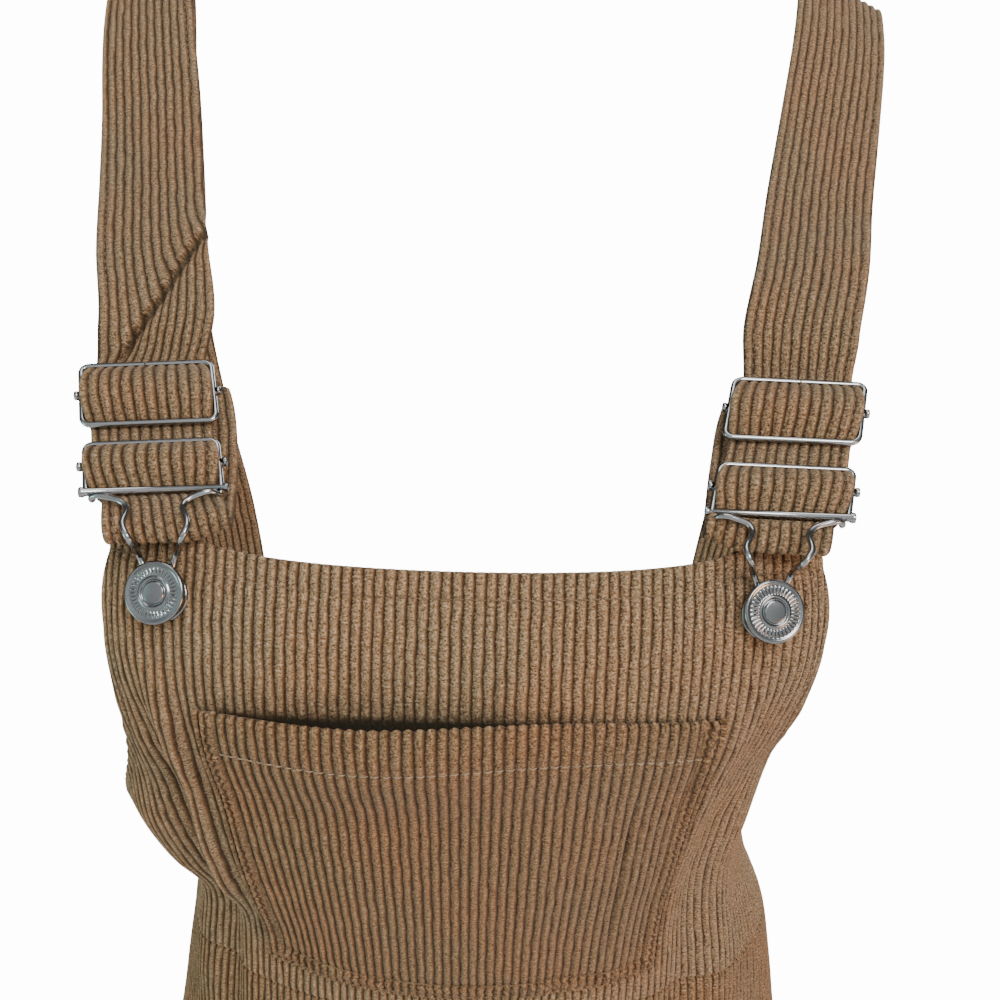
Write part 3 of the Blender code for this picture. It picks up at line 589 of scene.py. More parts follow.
# the second value darkens and tints this copy of the corduroy with painted shade
def corduroy(name, paintedShade=(1.0, 1.0, 1.0)):
    material, tree, shader = nodeMaterial(name)
    grain = addNode(tree, "ShaderNodeAttribute", attribute_name="grain")
    group = tree.nodes.new("ShaderNodeGroup")
    group.node_tree = pileGroup
    tree.links.new(grain.outputs["Vector"], group.inputs["Grain"])
    pile = group.outputs

    def shaded(*stops):
        return [(at, [c * s for c, s in zip(cordColours[key], paintedShade)]) for at, key in stops]

    ridge = ramp(tree, pile["Fleck"], shaded(
        (0.38, "speck"), (0.45, "ridgeDark"), (0.55, "ridgeLight"), (0.64, "fibre")), "LINEAR")
    # painted shade: darkest in the grooves and lighter up the flanks
    low = ramp(tree, pile["Ridge"], shaded((0.08, "groove"), (0.60, "shadedFlank")))
    litCrest = ramp(tree, pile["LitCrest"], [(0.16, 0.0), (0.80, 1.0)])
    tint = ramp(tree, pile["Patch"], [(0.36, cordColours["cool"]), (0.64, cordColours["warm"])])
    face = mixed(tree, 1.0, mixed(tree, litCrest, low, ridge), tint, "MULTIPLY")
    turned = mixed(tree, pile["Inside"], face, (*cordColours["inside"], 1))
    # painted shadow: nearly black where the grain's third value is below 0
    shadowMask = addNode(tree, "ShaderNodeMath", {0: pile["Inside"], 1: -1.0},
                      operation="MULTIPLY", use_clamp=True)
    whole = mixed(tree, shadowMask.outputs[0], turned, (*cordColours["paintedShadow"], 1))
    tree.links.new(whole, shader.inputs["Base Color"])
    rough = ramp(tree, pile["Fleck"], [(0.2, 0.98), (0.8, 0.80)])
    tree.links.new(rough, shader.inputs["Roughness"])
    bump = addNode(tree, "ShaderNodeBump", {
        "Height": pile["Height"], "Strength": 1.0, "Distance": 0.0008})
    tree.links.new(bump.outputs[0], shader.inputs["Normal"])
    shader.inputs["Sheen Weight"].default_value = 0.14
    shader.inputs["Sheen Roughness"].default_value = 0.45
    shader.inputs["Sheen Tint"].default_value = (1.0, 0.92, 0.80, 1)
    shader.inputs["Specular IOR Level"].default_value = 0.12
    return material


def fineNoise(tree, scale):
    where = addNode(tree, "ShaderNodeTexCoord")
    noise = addNode(tree, "ShaderNodeTexNoise", {
        "Vector": where.outputs["Object"], "Scale": scale, "Detail": 2.0})
    return noise.outputs["Fac"]


def thread(name, colour):
    material, tree, shader = nodeMaterial(name)
    twist = fineNoise(tree, 1400.0)
    shades = ramp(tree, twist, [(0.3, [c * 0.62 for c in colour]), (0.7, colour)])
    tree.links.new(shades, shader.inputs["Base Color"])
    bump = addNode(tree, "ShaderNodeBump", {"Height": twist, "Strength": 0.4, "Distance": 0.0002})
    tree.links.new(bump.outputs[0], shader.inputs["Normal"])
    shader.inputs["Roughness"].default_value = 0.7
    return material


def nickel(name, colour, rough):
    material, tree, shader = nodeMaterial(name)
    wear = ramp(tree, fineNoise(tree, 420.0), [(0.3, rough * 0.8), (0.7, rough * 1.25)])
    tree.links.new(wear, shader.inputs["Roughness"])
    shader.inputs["Base Color"].default_value = (*colour, 1)
    shader.inputs["Metallic"].default_value = 1.0
    return material


pileGroup = makePileGroup()
bibCord = corduroy("bibCorduroy")
# painted shade: the pocket, skirt and straps are the bib's corduroy made darker, the pocket and
# skirt also warmer, for the less light they get
pocketCord = corduroy("pocketCorduroy", (0.80, 0.73, 0.67))
skirtCord = corduroy("skirtCorduroy", (0.86, 0.80, 0.75))
strapCord = corduroy("strapCorduroy", (0.85, 0.84, 0.83))
seamThread = thread("seamThread", (0.235, 0.155, 0.085))
hemThread = thread("hemThread", (0.50, 0.39, 0.27))
wireNickel = nickel("wireNickel", (0.36, 0.37, 0.38), 0.15)
buttonNickel = nickel("buttonNickel", (0.25, 0.262, 0.27), 0.17)
print("materials made")

# panels

stitchDown = 7.6  # the hems' topstitching, below the edge
armStitch = 6.6  # the armholes' topstitching, inside the edge
hemStitchUp = 22.0  # the skirt hem's topstitching, above the hem
plainPanel = {
    "roll": 1.2, "wall": clothWall, "relief": 1.0, "innerRows": 4, "base": zeroAt,
    "kink": zeroAt, "shadowMask": zeroAt,
}


def spacedLevels(top, foot, fine, coarse, fineUntil):
    # rows close together near the top edge and further apart below
    near = np.arange(0, fineUntil, fine)
    far = np.linspace(fineUntil, top - foot, int((top - foot - fineUntil) / coarse))
    return np.concatenate([near, far]) / (top - foot)


pocket = {
    "topHeight": -249.0, "topRise": 3.0, "half": 78.5, "footHeight": -364.0, "point": 8.0,
    "mouth": 9.2, "mouthGirth": -22.0, "mouthWidth": 42.0, "mouthDepth": 42.0,
    "hemDown": 13.0, "outer": 1.6, "inside": 7.0, "lump": 3.2, "lumpMiddle": 4.2,
    "scallop": 1.3, "sink": 1.9, "sinkWidth": 4.5, "kink": 0.15, "kinkStep": 3.4,
}


def pocketRim(girths):
    part = np.clip(np.abs(girths) / pocket["half"], 0, 1)
    return pocket["topHeight"] + pocket["topRise"] * (1 - part**2)


def pocketTop(girths):
    # each wale ends in a small scallop
    return pocketRim(girths) + pocket["scallop"] * (waleProfile(girths / wale, 0.7) - 0.6)


def pocketFoot(girths):
    part = np.clip(np.abs(girths) / pocket["half"], 0, 1)
    return pocket["footHeight"] - pocket["point"] * (1 - part**1.6)


def pocketSide(face, heights, right):
    return pocket["half"] * gatherAt(heights)


def pocketShadow(heights, girths):
    # 1 where the bib lies deep behind the pocket, where a dark shadow is painted on its pile
    below = pocketTop(girths) - heights
    inside = pocketSide("front", heights, True) - np.abs(girths)
    above = heights - pocketFoot(girths)
    return ease((below - 0.3) / 2.5) * ease((inside - 4.0) / 3.0) * ease((above - 5.0) / 4.0)


def besidePocket(heights, girths, plump):
    # the bib sinks a little along the pocket's sides and foot
    away = np.abs(girths) - pocketSide("front", heights, True)
    past = np.maximum(away, pocketFoot(girths) - heights)
    level = ease((pocketTop(girths) - heights) / 4)
    wide = pocket["sinkWidth"]
    return level * pocket["sink"] * ease((past + 2.0) / 2.0) * ease((wide - past) / wide)


bibFront = plainPanel | {
    "name": "bibFrontCloth",
    "face": "front", "top": frontTop, "foot": waistHeight, "edge": sideEdge,
    "wales": 57, "columnsPerWale": 6, "sway": 0.17, "seed": 4, "shadowMask": pocketShadow,
    "levels": spacedLevels(cut["frontTop"], cut["waist"], 0.8, 1.75, 9.0),
    "lines": [acrossStitch(frontTop, stitchDown), besideStitch("front", sideEdge, armStitch),
              besidePocket],
}
bibBack = plainPanel | {
    "name": "bibBackCloth",
    "face": "back", "top": backTop, "foot": waistHeight, "edge": sideEdge,
    "wales": 57, "columnsPerWale": 4, "sway": 0.08, "seed": 9,
    "levels": spacedLevels(cut["backTop"], cut["waist"], 1.0, 2.2, 9.0),
    "lines": [acrossStitch(backTop, stitchDown), besideStitch("back", sideEdge, armStitch)],
}


def hemStitch(heights, girths, plump):
    return groove(heights - cut["hem"] - hemStitchUp, 0.5, 1.6) * (0.4 + 0.6 * plump)


def skirtPanel(face, seed):
    return plainPanel | {
        "name": f"skirt{face.capitalize()}Cloth",
        "face": face, "top": waistHeight, "foot": hemHeight, "edge": seamGirth,
        "wales": 101, "columnsPerWale": 4, "innerRows": 3, "sway": 0.06, "seed": seed,
        "levels": np.concatenate([np.linspace(0, 0.04, 6)[:-1], np.linspace(0.04, 0.93, 52)[:-1],
                                  np.linspace(0.93, 1, 14)]),
        "lines": [hemStitch],
    }


skirtFront, skirtBack = skirtPanel("front", 12), skirtPanel("back", 15)


def pocketBase(heights, girths):
    spread = (girths - pocket["mouthGirth"]) / pocket["mouthWidth"]
    depth = (pocket["topHeight"] - heights) / pocket["mouthDepth"]
    gape = pocket["mouth"] * np.exp(-(spread**2)) * (1 - ease(depth))
    return waleRise + seamGap + gape + clothWall


def insidePocketEdge(heights, girths):
    # distance inside the pocket's sides and foot, and whether a side is nearer
    inside = pocketSide("front", heights, True) - np.abs(girths)
    above = heights - pocketFoot(girths)
    return np.minimum(inside, above), inside < above


def unevenSeam(heights, girths):
    return 2 * ripple(heights / 9, girths / 9, 31)


def pocketPucker(heights, girths, plump):
    # the cross bumps between the two rows of side and foot stitching
    near, beside = insidePocketEdge(heights, girths)
    along = np.where(beside, heights, girths)
    wave = along * 2 * math.pi / pocket["lump"] + unevenSeam(heights, girths)
    bumps = 0.5 + 0.5 * np.sin(wave)
    band = np.exp(-(((near - pocket["lumpMiddle"]) / 1.9) ** 2))
    rows = groove(near - 1.7, 0.7, 0.8) + groove(near - pocket["inside"], 0.9, 1.0)
    return rows - band * (0.1 + 1.05 * bumps) - groove(near - 0.4, 0.5, 0.8)


def pocketKink(heights, girths):
    # the same stitching throws the wales from side to side
    near, _ = insidePocketEdge(heights, girths)
    band = np.exp(-(((near - pocket["lumpMiddle"]) / 2.4) ** 2))
    wave = heights * 2 * math.pi / pocket["kinkStep"] + unevenSeam(heights, girths)
    return pocket["kink"] * band * np.sin(wave)


bibPocket = plainPanel | {
    "name": "bibPocketCloth",
    "face": "front", "top": pocketTop, "foot": pocketFoot, "edge": pocketSide,
    "wales": 25, "columnsPerWale": 8, "sway": 0.19, "seed": 21, "roll": 1.3, "relief": 1.05,
    "base": pocketBase, "kink": pocketKink,
    "levels": spacedLevels(pocket["topHeight"], pocket["footHeight"], 0.8, 1.3, 15.0),
    "lines": [acrossStitch(pocketRim, pocket["hemDown"]), pocketPucker],
}

for piece, node, material in ((bibFront, "bib_front", bibCord), (bibBack, "bib_back", bibCord),
                              (skirtFront, "skirt_front", skirtCord),
                              (skirtBack, "skirt_back", skirtCord),
                              (bibPocket, "bib_pocket", pocketCord)):
    thing = panel(piece, material)
    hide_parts(node)
    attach(thing, root)
print("panels made")

# straps

straps = {
    "width": 37.4, "wales": 12, "columnsPerWale": 6, "half": 1.05, "step": 1.9,
    "closeStep": 1.1, "stitchAt": 15.6,
    "originAt": (-101.0, -94.5, -159.0), "footAt": (-88.5, -133.5, -197.0),
    "loopDepth": 5.8, "loopBackTop": -1.0,
    "path": [  # x, y, z and tilt over the shoulder and down the back
        (-102.0, -78.5, -140.5, 5),
        (-107.6, -60.5, -118.5, 6),
        (-114.6, -33.0, -94.3, 9),
        (-122.0, -4.5, -66.5, 14),
        (-127.0, 12.5, -46.0, 19),
        (-131.0, 28.5, -27.5, 23),
        (-134.0, 43.0, -15.5, 25),
        (-137.0, 58.0, -11.5, 25),
        (-140.5, 72.0, -15.5, 24),
        (-143.5, 85.0, -28.5, 22),
        (-146.0, 93.0, -52.0, 21),
        (-147.0, 94.0, -98.0, 21),
        (-142.0, 84.5, -148.0, 21),
    ],
    "tail": [  # height, distance off the back and girth
        (-192, 8.0, 130),
        (-234, 3.4, 122),
        (-270, 0.4, 117),
        (-280, 0.4, 116),
        (-290, 0.4, 115),
        (-302, 0.4, 114),
    ],
}
metal = {
    "wire": 1.0, "sliderHalfWidth": 20.4, "sliderHalfHeight": 11.6, "sliderBar": 0.95,
    "sliderReach": 21.5, "corner": 2.6, "buckleTop": 24.8, "buckleBarAt": 32.9,
    "buckleRodAt": 42.2, "buckleHalfWidth": 19.9, "buckleBar": 1.0, "buckleReach": 21.2,
    "buckleRod": 1.1, "rodReach": 20.8, "knob": 1.5, "hookWire": 0.95, "hookSpread": 18.6,
    "hookShift": 0.65,
}
sides = [
    {"name": "Left", "node": "left", "sign": 1, "tilt": 3.7, "slider": 4.0, "buckle": -1.5,
     "foot": 55.6, "outward": 0.0, "button": -216.2, "tuckTop": 6.2, "tuckFoot": 2.6},
    {"name": "Right", "node": "right", "sign": -1, "tilt": 1.2, "slider": 4.2, "buckle": 1.6,
     "foot": 53.7, "outward": 4.9, "button": -216.9, "tuckTop": 4.1, "tuckFoot": 2.3},
]


def unit(vector):
    vector = np.asarray(vector, float)
    return vector / np.linalg.norm(vector)


def matrixOf(columns, origin):
    matrix = np.eye(4)
    matrix[:3, :3] = np.array(columns).T
    matrix[:3, 3] = origin
    return Matrix(matrix.tolist())


def bucklePlane(side):
    # the plane in which a side's slider and buckle lie
    mirror = np.array([side["sign"], 1, 1])
    origin = np.array(straps["originAt"]) * mirror
    down = unit((np.array(straps["footAt"]) - np.array(straps["originAt"])) * mirror)
    tilt = math.radians(side["tilt"]) * side["sign"]
    across = np.array([math.cos(tilt), 0, math.sin(tilt)])
    out = unit(np.cross(down, across))

    def at(wide, low, high):
        return origin + wide * across + low * down + high * out
    return at


def threadedStations(side):
    # distance down, distance out, shift to the centre and width, tucked end first
    gap = clothWall / 2 + passGap
    underWire = -(metal["wire"] + waleRise + gap)
    underRod = -(metal["buckleRod"] + waleRise + gap)
    overSlider, overBuckle = metal["sliderBar"] + gap, metal["buckleBar"] + gap
    foot, deep = side["foot"], straps["loopDepth"]
    high, tuck = side["tuckTop"], side["tuckFoot"]
    rod, bar, top = (metal[k] + side["buckle"] for k in ("buckleRodAt", "buckleBarAt", "buckleTop"))
    upper, lower = (side["slider"] + s * metal["sliderHalfHeight"] for s in (1, -1))
    rows = [
        (straps["loopBackTop"] - 3.4, underWire - deep, high, 31.0),
        (straps["loopBackTop"] - 2.8, underWire - deep, high, 34.6),
        (straps["loopBackTop"] - 1.2, underWire - deep, high, 36.4),
        (straps["loopBackTop"] + 1.0, underWire - deep, high, 37.0),
        (20.0, underWire - deep - 0.3, high, 37.0),
        (foot - 12.0, -deep - 1.6, high + (tuck - high) * 0.7, 37.2),
        (foot - 3.4, -deep - 0.5, tuck + 0.2, 37.4),
        (foot - 0.7, -deep + 0.9, tuck, 37.4),
        (foot, -deep / 2 - 0.4, tuck, 37.4),
        (foot - 0.9, -1.9, tuck, 37.4),
        (foot - 3.6, -0.7, tuck, 37.2),
        (foot - 7.0, -0.8, tuck * 0.9, 36.6),
        (rod + 2.6, -1.7, tuck * 0.6, 35.4),
    ]
    nodes = [(rod, underRod, 36.4), (bar, overBuckle + 2.2, 40.6), (top, underWire, 37.4),
             (upper, underWire, 37.4), (side["slider"], overSlider + 2.9, 41.0),
             (lower, underWire, 36.4)]
    for k, ((d0, o0, w0), (d1, o1, w1)) in enumerate(zip(nodes, nodes[1:])):
        for t in (0.0, 0.15, 0.4, 0.7) if k in (0, 3) else (0.0, 0.3, 0.6, 0.85):
            e = float(ease(t))
            if k in (0, 3):  # the cloth swells at once where it leaves a wire
                e = math.sin(t * math.pi / 2) ** 0.8
            elif k in (1, 4):
                e = 1 - math.cos(t * math.pi / 2) ** 0.8
            rows.append((d0 + (d1 - d0) * t, o0 + (o1 - o0) * e, 0.0, w0 + (w1 - w0) * e))
    rows.append((lower, underWire, 0.0, 35.8))
    return rows


def strapRows(side, wide):
    # control rows of the strap's middle surface
    at = bucklePlane(side)
    sign = side["sign"]
    rows = []
    for low, out, shift, width in threadedStations(side):
        # the loop's foot is skewed, and a bulge over a bar is lower at the strap's edges
        skew = 3.6 * ease((low - side["foot"] + 12) / 10) * ease((wide * sign - 0.12) / 0.38)
        dome = max(out, 0) * 0.35 * (2 * np.abs(wide)) ** 4
        bow = 0.06 * max(out, 0)
        rows.append([at(w * width + (shift + bow) * sign, low - s, out - d)
                     for w, s, d in zip(wide, skew, dome)])
    threaded = len(rows)
    for i, (x, y, z, tilt) in enumerate(straps["path"]):
        centre = np.array([(x - side["outward"] * min(0.5 + i / 6, 1)) * sign, y, z])
        angle = math.radians(tilt) * sign
        across = np.array([math.cos(angle), 0, math.sin(angle)])
        rows.append([centre + w * straps["width"] * across for w in wide])
    for height, off, girth in straps["tail"]:
        rows.append(clothPoints("back", float(height), wide * straps["width"] - girth * sign,
                                off + clothWall / 2))
    return np.array(rows), threaded


def smoothRows(rows, near):
    # rows on a smooth curve through the given ones, closer together up to row near
    at = runUp(rows[:, rows.shape[1] // 2])
    far = np.linspace(at[near], at[-1], int((at[-1] - at[near]) / straps["step"]) + 1)
    close = np.arange(0, at[near] - straps["closeStep"] / 2, straps["closeStep"])
    fine = np.concatenate([close, far])
    return smoothThrough(at, rows, fine), fine, at


slant = {  # the crease above the left slider, where the strap folds over itself
    "at": -3.2, "slope": 0.63, "from": -15, "to": 46, "over": 2.2, "overWide": 6,
    # the next line ends with the strength of the shadow painted along the crease's foot
    "under": 1.8, "kink": 0.95, "kinkWide": 7, "creaseShadow": 0.8,
}


def creaseLine(across, along):
    # distance right of the crease, and how far it shows
    line = across - slant["at"] - slant["slope"] * along
    return line, ease((along - slant["from"]) / 8) * ease((slant["to"] - along) / 10)


def strapWrinkle(side, wide, run):
    # how far creases move the strap out; run is measured up from the slider
    along, across = np.meshgrid(run, wide * straps["width"], indexing="ij")
    live = ease(along / 14) * ease((190 - along) / 60)
    if side["sign"] > 0:
        line, shown = creaseLine(across, along)
        over = slant["over"] * np.exp(np.minimum(line, 0) / slant["overWide"])
        over = over / (1 + np.exp(np.clip(line / 0.5, -30, 30)))
        crease = shown * (over - slant["under"] * np.exp(-(((line - 0.8) / 1.2) ** 2)))
        wave = 0.5 * ripple(along / 26, across / 30, 41)
    else:
        crease = 0.7 * np.exp(-(((across - 9 + along * 0.12) / 3.4) ** 2))
        crease = crease * ease((70 - along) / 20) * live
        wave = 1.5 * ripple(along / 17, across / 26, 44)
    return crease + live * wave


def makeStrap(side):
    perWale = straps["columnsPerWale"]
    count = straps["wales"] * perWale + 1
    phase = np.linspace(0, straps["wales"], count)
    wide = np.linspace(-0.5, 0.5, count)
    rows, threaded = strapRows(side, wide)
    middle, fine, at = smoothRows(rows, threaded + 2)
    normals = np.cross(np.gradient(middle, axis=1), np.gradient(middle, axis=0))
    normals /= np.linalg.norm(normals, axis=-1, keepdims=True)
    run = fine - at[threaded]
    middle = middle + strapWrinkle(side, wide, run)[..., None] * normals
    sway = 0.20 * ripple(phase[None, :] / 3.4, fine[:, None] / 19, 51)
    creaseShadow = np.zeros_like(sway)
    if side["sign"] > 0:  # the wales kink at the crease, and a shadow is painted dark along its foot
        line, shown = creaseLine(wide[None, :] * straps["width"], run[:, None])
        sway = sway - slant["kink"] * shown * np.exp(-np.abs(line) / slant["kinkWide"])
        creaseShadow = slant["creaseShadow"] * shown * np.exp(-(((line - 0.5) / 0.9) ** 2))
    edge = np.clip((0.5 - np.abs(wide)) * straps["width"] / 1.2, 0, 1)
    body = straps["half"] * (0.3 + 0.7 * np.sqrt(1 - (1 - edge) ** 2))
    plump = waleProfile(phase[None, :] + sway, 0.9)
    fromStitch = np.abs(wide) * straps["width"] - straps["stitchAt"]
    stitched = groove(np.abs(fromStitch), 0.25, 0.6)
    high = body[None, :] + waleRise * (2 * plump - 1.1) * edge - stitched
    outer = middle + high[..., None] * normals
    under = middle - high[..., None] * normals
    rowsCount = len(fine)
    front = np.arange(rowsCount * count).reshape(rowsCount, count)
    back = front + rowsCount * count
    faceList = []
    for grid in (front, back[:, ::-1]):
        faceList += quadsOf(grid).tolist()
    for a, b in ((front[:, 0], back[:, 0]), (back[:, -1], front[:, -1]),
                 (back[0], front[0]), (front[-1], back[-1])):
        faceList += np.stack([a[:-1], a[1:], b[1:], b[:-1]], -1).tolist()
    grain = np.stack([np.broadcast_to(phase[None, :] + sway, plump.shape),
                      np.broadcast_to(fine[:, None] / wale, plump.shape),
                      -creaseShadow], -1)
    thing = meshObject(f"strap{side['name']}Cloth",
                       np.concatenate([outer.reshape(-1, 3), under.reshape(-1, 3)]), faceList,
                       np.concatenate([grain.reshape(-1, 3)] * 2), strapCord)
    side["strapLength"] = float(at[-1])
    side["seamLines"] = []
    for k in (perWale, count - 1 - perWale):
        side["seamLines"].append((outer[:, k], normals[:, k]))
        side["seamLines"].append((under[:, k], -normals[:, k]))
    return thing


for side in sides:
    strap = makeStrap(side)
    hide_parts("strap_" + side["node"])
    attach(strap, root)
    side["strap"] = strap
print("straps made")

# stitches

stitch = {"length": 2.5, "gap": 0.75, "thick": 0.26, "rings": 4, "around": 5}


def alongLine(points, normals, every):
    # even steps along a line of points, with the outward direction at each
    length = runUp(points)
    at = np.arange(every / 2, length[-1], every)

    def read(values, where):
        return np.stack([np.interp(where, length, values[:, k]) for k in range(3)], -1)

    way = read(points, at + 0.2) - read(points, at - 0.2)
    return read(points, at), read(normals, at), way / np.linalg.norm(way, axis=1, keepdims=True)


def makeStitches(name, lines, material, thick=1.0):
    # each line is a row of short threads whose ends dive into the cloth
    points, faceList = [], []
    rings, around = stitch["rings"], stitch["around"]
    half, radius = stitch["length"] / 2, stitch["thick"] * thick
    for linePoints, lineNormals in lines:
        middle, up, way = alongLine(np.asarray(linePoints), np.asarray(lineNormals),
                                    stitch["length"] + stitch["gap"])
        for centre, high, ahead in zip(middle, up, way):
            high = unit(high - np.dot(high, ahead) * ahead)
            beside = np.cross(ahead, high)
            start = len(points)
            for i in range(rings):
                t = -1 + 2 * i / (rings - 1)
                slim = radius * (1.0 if 0 < i < rings - 1 else 0.55)
                ring = centre + ahead * half * t + high * (radius * 0.5 - 0.45 * t**4)
                for k in range(around):
                    turn = 2 * math.pi * k / around
                    points.append(ring + slim * (math.cos(turn) * beside + math.sin(turn) * high))
            for i in range(rings - 1):
                for k in range(around):
                    a = start + i * around + k
                    b = start + i * around + (k + 1) % around
                    faceList.append((a, b, b + around, a + around))
            faceList.append(tuple(start + k for k in range(around))[::-1])
            faceList.append(tuple(start + (rings - 1) * around + k for k in range(around)))
    thing = meshObject(name, points, faceList, None, material)
    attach(thing, root)
    return thing


def onCloth(face, heights, girths, rise):
    return clothPoints(face, heights, girths, rise), readFace(face, heights, girths)[1]


def hemLine(face, edge, down, half, rise):
    girths = np.linspace(-half, half, 400)
    return onCloth(face, edge(girths) - down, girths, rise(edge(girths) - down, girths))


def sideLine(face, edge, inside, top, foot, sign, rise):
    heights = np.linspace(top, foot, 300)
    girths = sign * (edge(face, heights, sign > 0) - inside)
    return onCloth(face, heights, girths, rise(heights, girths))


def flatRise(heights, girths):
    return np.full(np.shape(girths), 0.02)


def pocketRise(heights, girths):
    return pocketBase(heights, girths) + 0.02


bibLines = [hemLine("front", frontTop, stitchDown, 108.5, flatRise)]
backLines = [hemLine("back", backTop, stitchDown, 131.0, flatRise)]
for sign in (-1, 1):
    bibLines.append(sideLine("front", sideEdge, armStitch, -207, -338, sign, flatRise))
    backLines.append(sideLine("back", sideEdge, armStitch, -278, -338, sign, flatRise))
pocketHem = [hemLine("front", pocketRim, pocket["hemDown"], 71.5, pocketRise)]
pocketSeams = []
for inside in (pocket["outer"], pocket["inside"]):
    for sign in (-1, 1):
        pocketSeams.append(sideLine("front", pocketSide, inside, -251, -364, sign, pocketRise))
    span = np.linspace(-71 + inside, 71 - inside, 300)
    low = pocketFoot(span) + inside
    pocketSeams.append(onCloth("front", low, span, pocketRise(low, span)))
skirtLines = {}
for face in ("front", "back"):
    reach = float(seamGirth(face, cut["hem"] + hemStitchUp, True)) - 2
    skirtLines[face] = [hemLine(face, hemHeight, -hemStitchUp, reach, flatRise)]

bibThreads = makeStitches("bibFrontStitches", bibLines, seamThread)
backThreads = makeStitches("bibBackStitches", backLines, seamThread)
pocketHemThreads = makeStitches("pocketHemStitches", pocketHem, hemThread, 0.8)
pocketThreads = makeStitches("pocketSeamStitches", pocketSeams, seamThread)
skirtThreads = {
    face: makeStitches(f"skirt{face.capitalize()}Stitches", skirtLines[face], seamThread)
    for face in ("front", "back")}
for side in sides:
    side["threads"] = makeStitches(f"strap{side['name']}Stitches", side["seamLines"],
                                   seamThread, 0.8)
print("stitches made")

# metal


def curvePath(points, every):
    # even points on a smooth curve through the given ones
    points = np.asarray(points, float)
    at = runUp(points)
    return smoothThrough(at, points, np.linspace(0, at[-1], int(at[-1] / every)))


def wireMesh(points, radii, closed):
    # one wire as a mesh, swept by a curve's round bevel
    data = bpy.data.curves.new("wire", "CURVE")
    data.dimensions = "3D"
    data.bevel_depth = 0.001
    data.bevel_resolution = 4
    data.use_fill_caps = not closed
    line = data.splines.new("POLY")
    line.points.add(len(points) - 1)
    radii = np.broadcast_to(radii, len(points))
    for target, point, radius in zip(line.points, place(points), radii):
        target.co = (*point, 1)
        target.radius = radius
    line.use_cyclic_u = closed
    holder = newObject("wire", data)
    bpy.context.view_layer.update()
    swept = holder.evaluated_get(bpy.context.evaluated_depsgraph_get())
    mesh = bpy.data.meshes.new_from_object(swept)
    bpy.data.objects.remove(holder)
    return mesh


def metalPiece(name, meshes, material, node):
    shape = bmesh.new()
    for mesh in meshes:
        shape.from_mesh(mesh)
    bmesh.ops.remove_doubles(shape, verts=shape.verts, dist=0.000001)
    bmesh.ops.recalc_face_normals(shape, faces=shape.faces)
    mesh = meshFrom(shape, name)
    mesh.shade_smooth()
    mesh.set_sharp_from_angle(angle=math.radians(60))
    mesh.materials.clear()
    mesh.materials.append(material)
    thing = newObject(name, mesh)
    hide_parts(node)
    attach(thing, root)


def roundedFrame(half, top, bottom, corner, turns):
    wide, high, low = half - corner, top + corner, bottom - corner
    outline = []
    for x, y, start in ((-wide, high, 180), (wide, high, 270), (wide, low, 0), (-wide, low, 90)):
        for i in range(turns + 1):
            angle = math.radians(start + 90 * i / turns)
            outline.append((x + corner * math.cos(angle), y + corner * math.sin(angle)))
    return outline


def knobbedBar(at, low, reach, radius, knob, bulb=0):
    # a bar with a round head at each end; bulb makes one end fatter
    spots = [(-reach - 1.3, 0.25), (-reach - 1.1, 0.75), (-reach - 0.55, 1.0), (-reach + 0.1, 0.8),
             (-reach + 0.5, 0.0)]
    wide, radii = [], []
    for x, swell in spots:
        wide.append(x)
        radii.append(radius + (knob - radius) * swell if swell > 0.5 or x > -reach else knob * 0.45)
    wide = wide + [-x for x in wide[::-1]]
    radii = radii + radii[::-1]
    if bulb:
        radii = [r * (1.16 if x * bulb > reach - 4 else 0.9) for x, r in zip(wide, radii)]
    return wireMesh([at(x, low, 0) for x in wide], radii, False)


def makeSlider(side):
    at = bucklePlane(side)
    top, bottom = (side["slider"] + s * metal["sliderHalfHeight"] for s in (-1, 1))
    outline = roundedFrame(metal["sliderHalfWidth"], top, bottom, metal["corner"], 7)
    joint = 0.22  # the cut in the top wire where its ends meet
    path = [(joint, top)] + outline[8:] + outline[:8] + [(-joint, top)]
    frameWire = wireMesh([at(x, y, 0) for x, y in path], metal["wire"], False)
    bar = knobbedBar(at, side["slider"], metal["sliderReach"], metal["sliderBar"], metal["knob"])
    metalPiece(f"slider{side['name']}Wire", [frameWire, bar], wireNickel, "slider_" + side["node"])


def makeBuckle(side):
    at = bucklePlane(side)
    top, barAt, rodAt = (metal[k] + side["buckle"]
                         for k in ("buckleTop", "buckleBarAt", "buckleRodAt"))
    half = metal["buckleHalfWidth"]
    outline = roundedFrame(half, top, rodAt + 6, metal["corner"], 7)[:16]
    path = [(-half, rodAt)] + outline + [(half, rodAt)]
    frameWire = wireMesh([at(x, y, 0) for x, y in path], metal["wire"], False)
    bar = knobbedBar(at, barAt, metal["buckleReach"], metal["buckleBar"], metal["knob"])
    rod = knobbedBar(at, rodAt, metal["rodReach"], metal["buckleRod"], metal["knob"] * 0.95,
                     -side["sign"])
    metalPiece(f"buckle{side['name']}Wire", [frameWire, bar, rod], wireNickel,
               "buckle_" + side["node"])


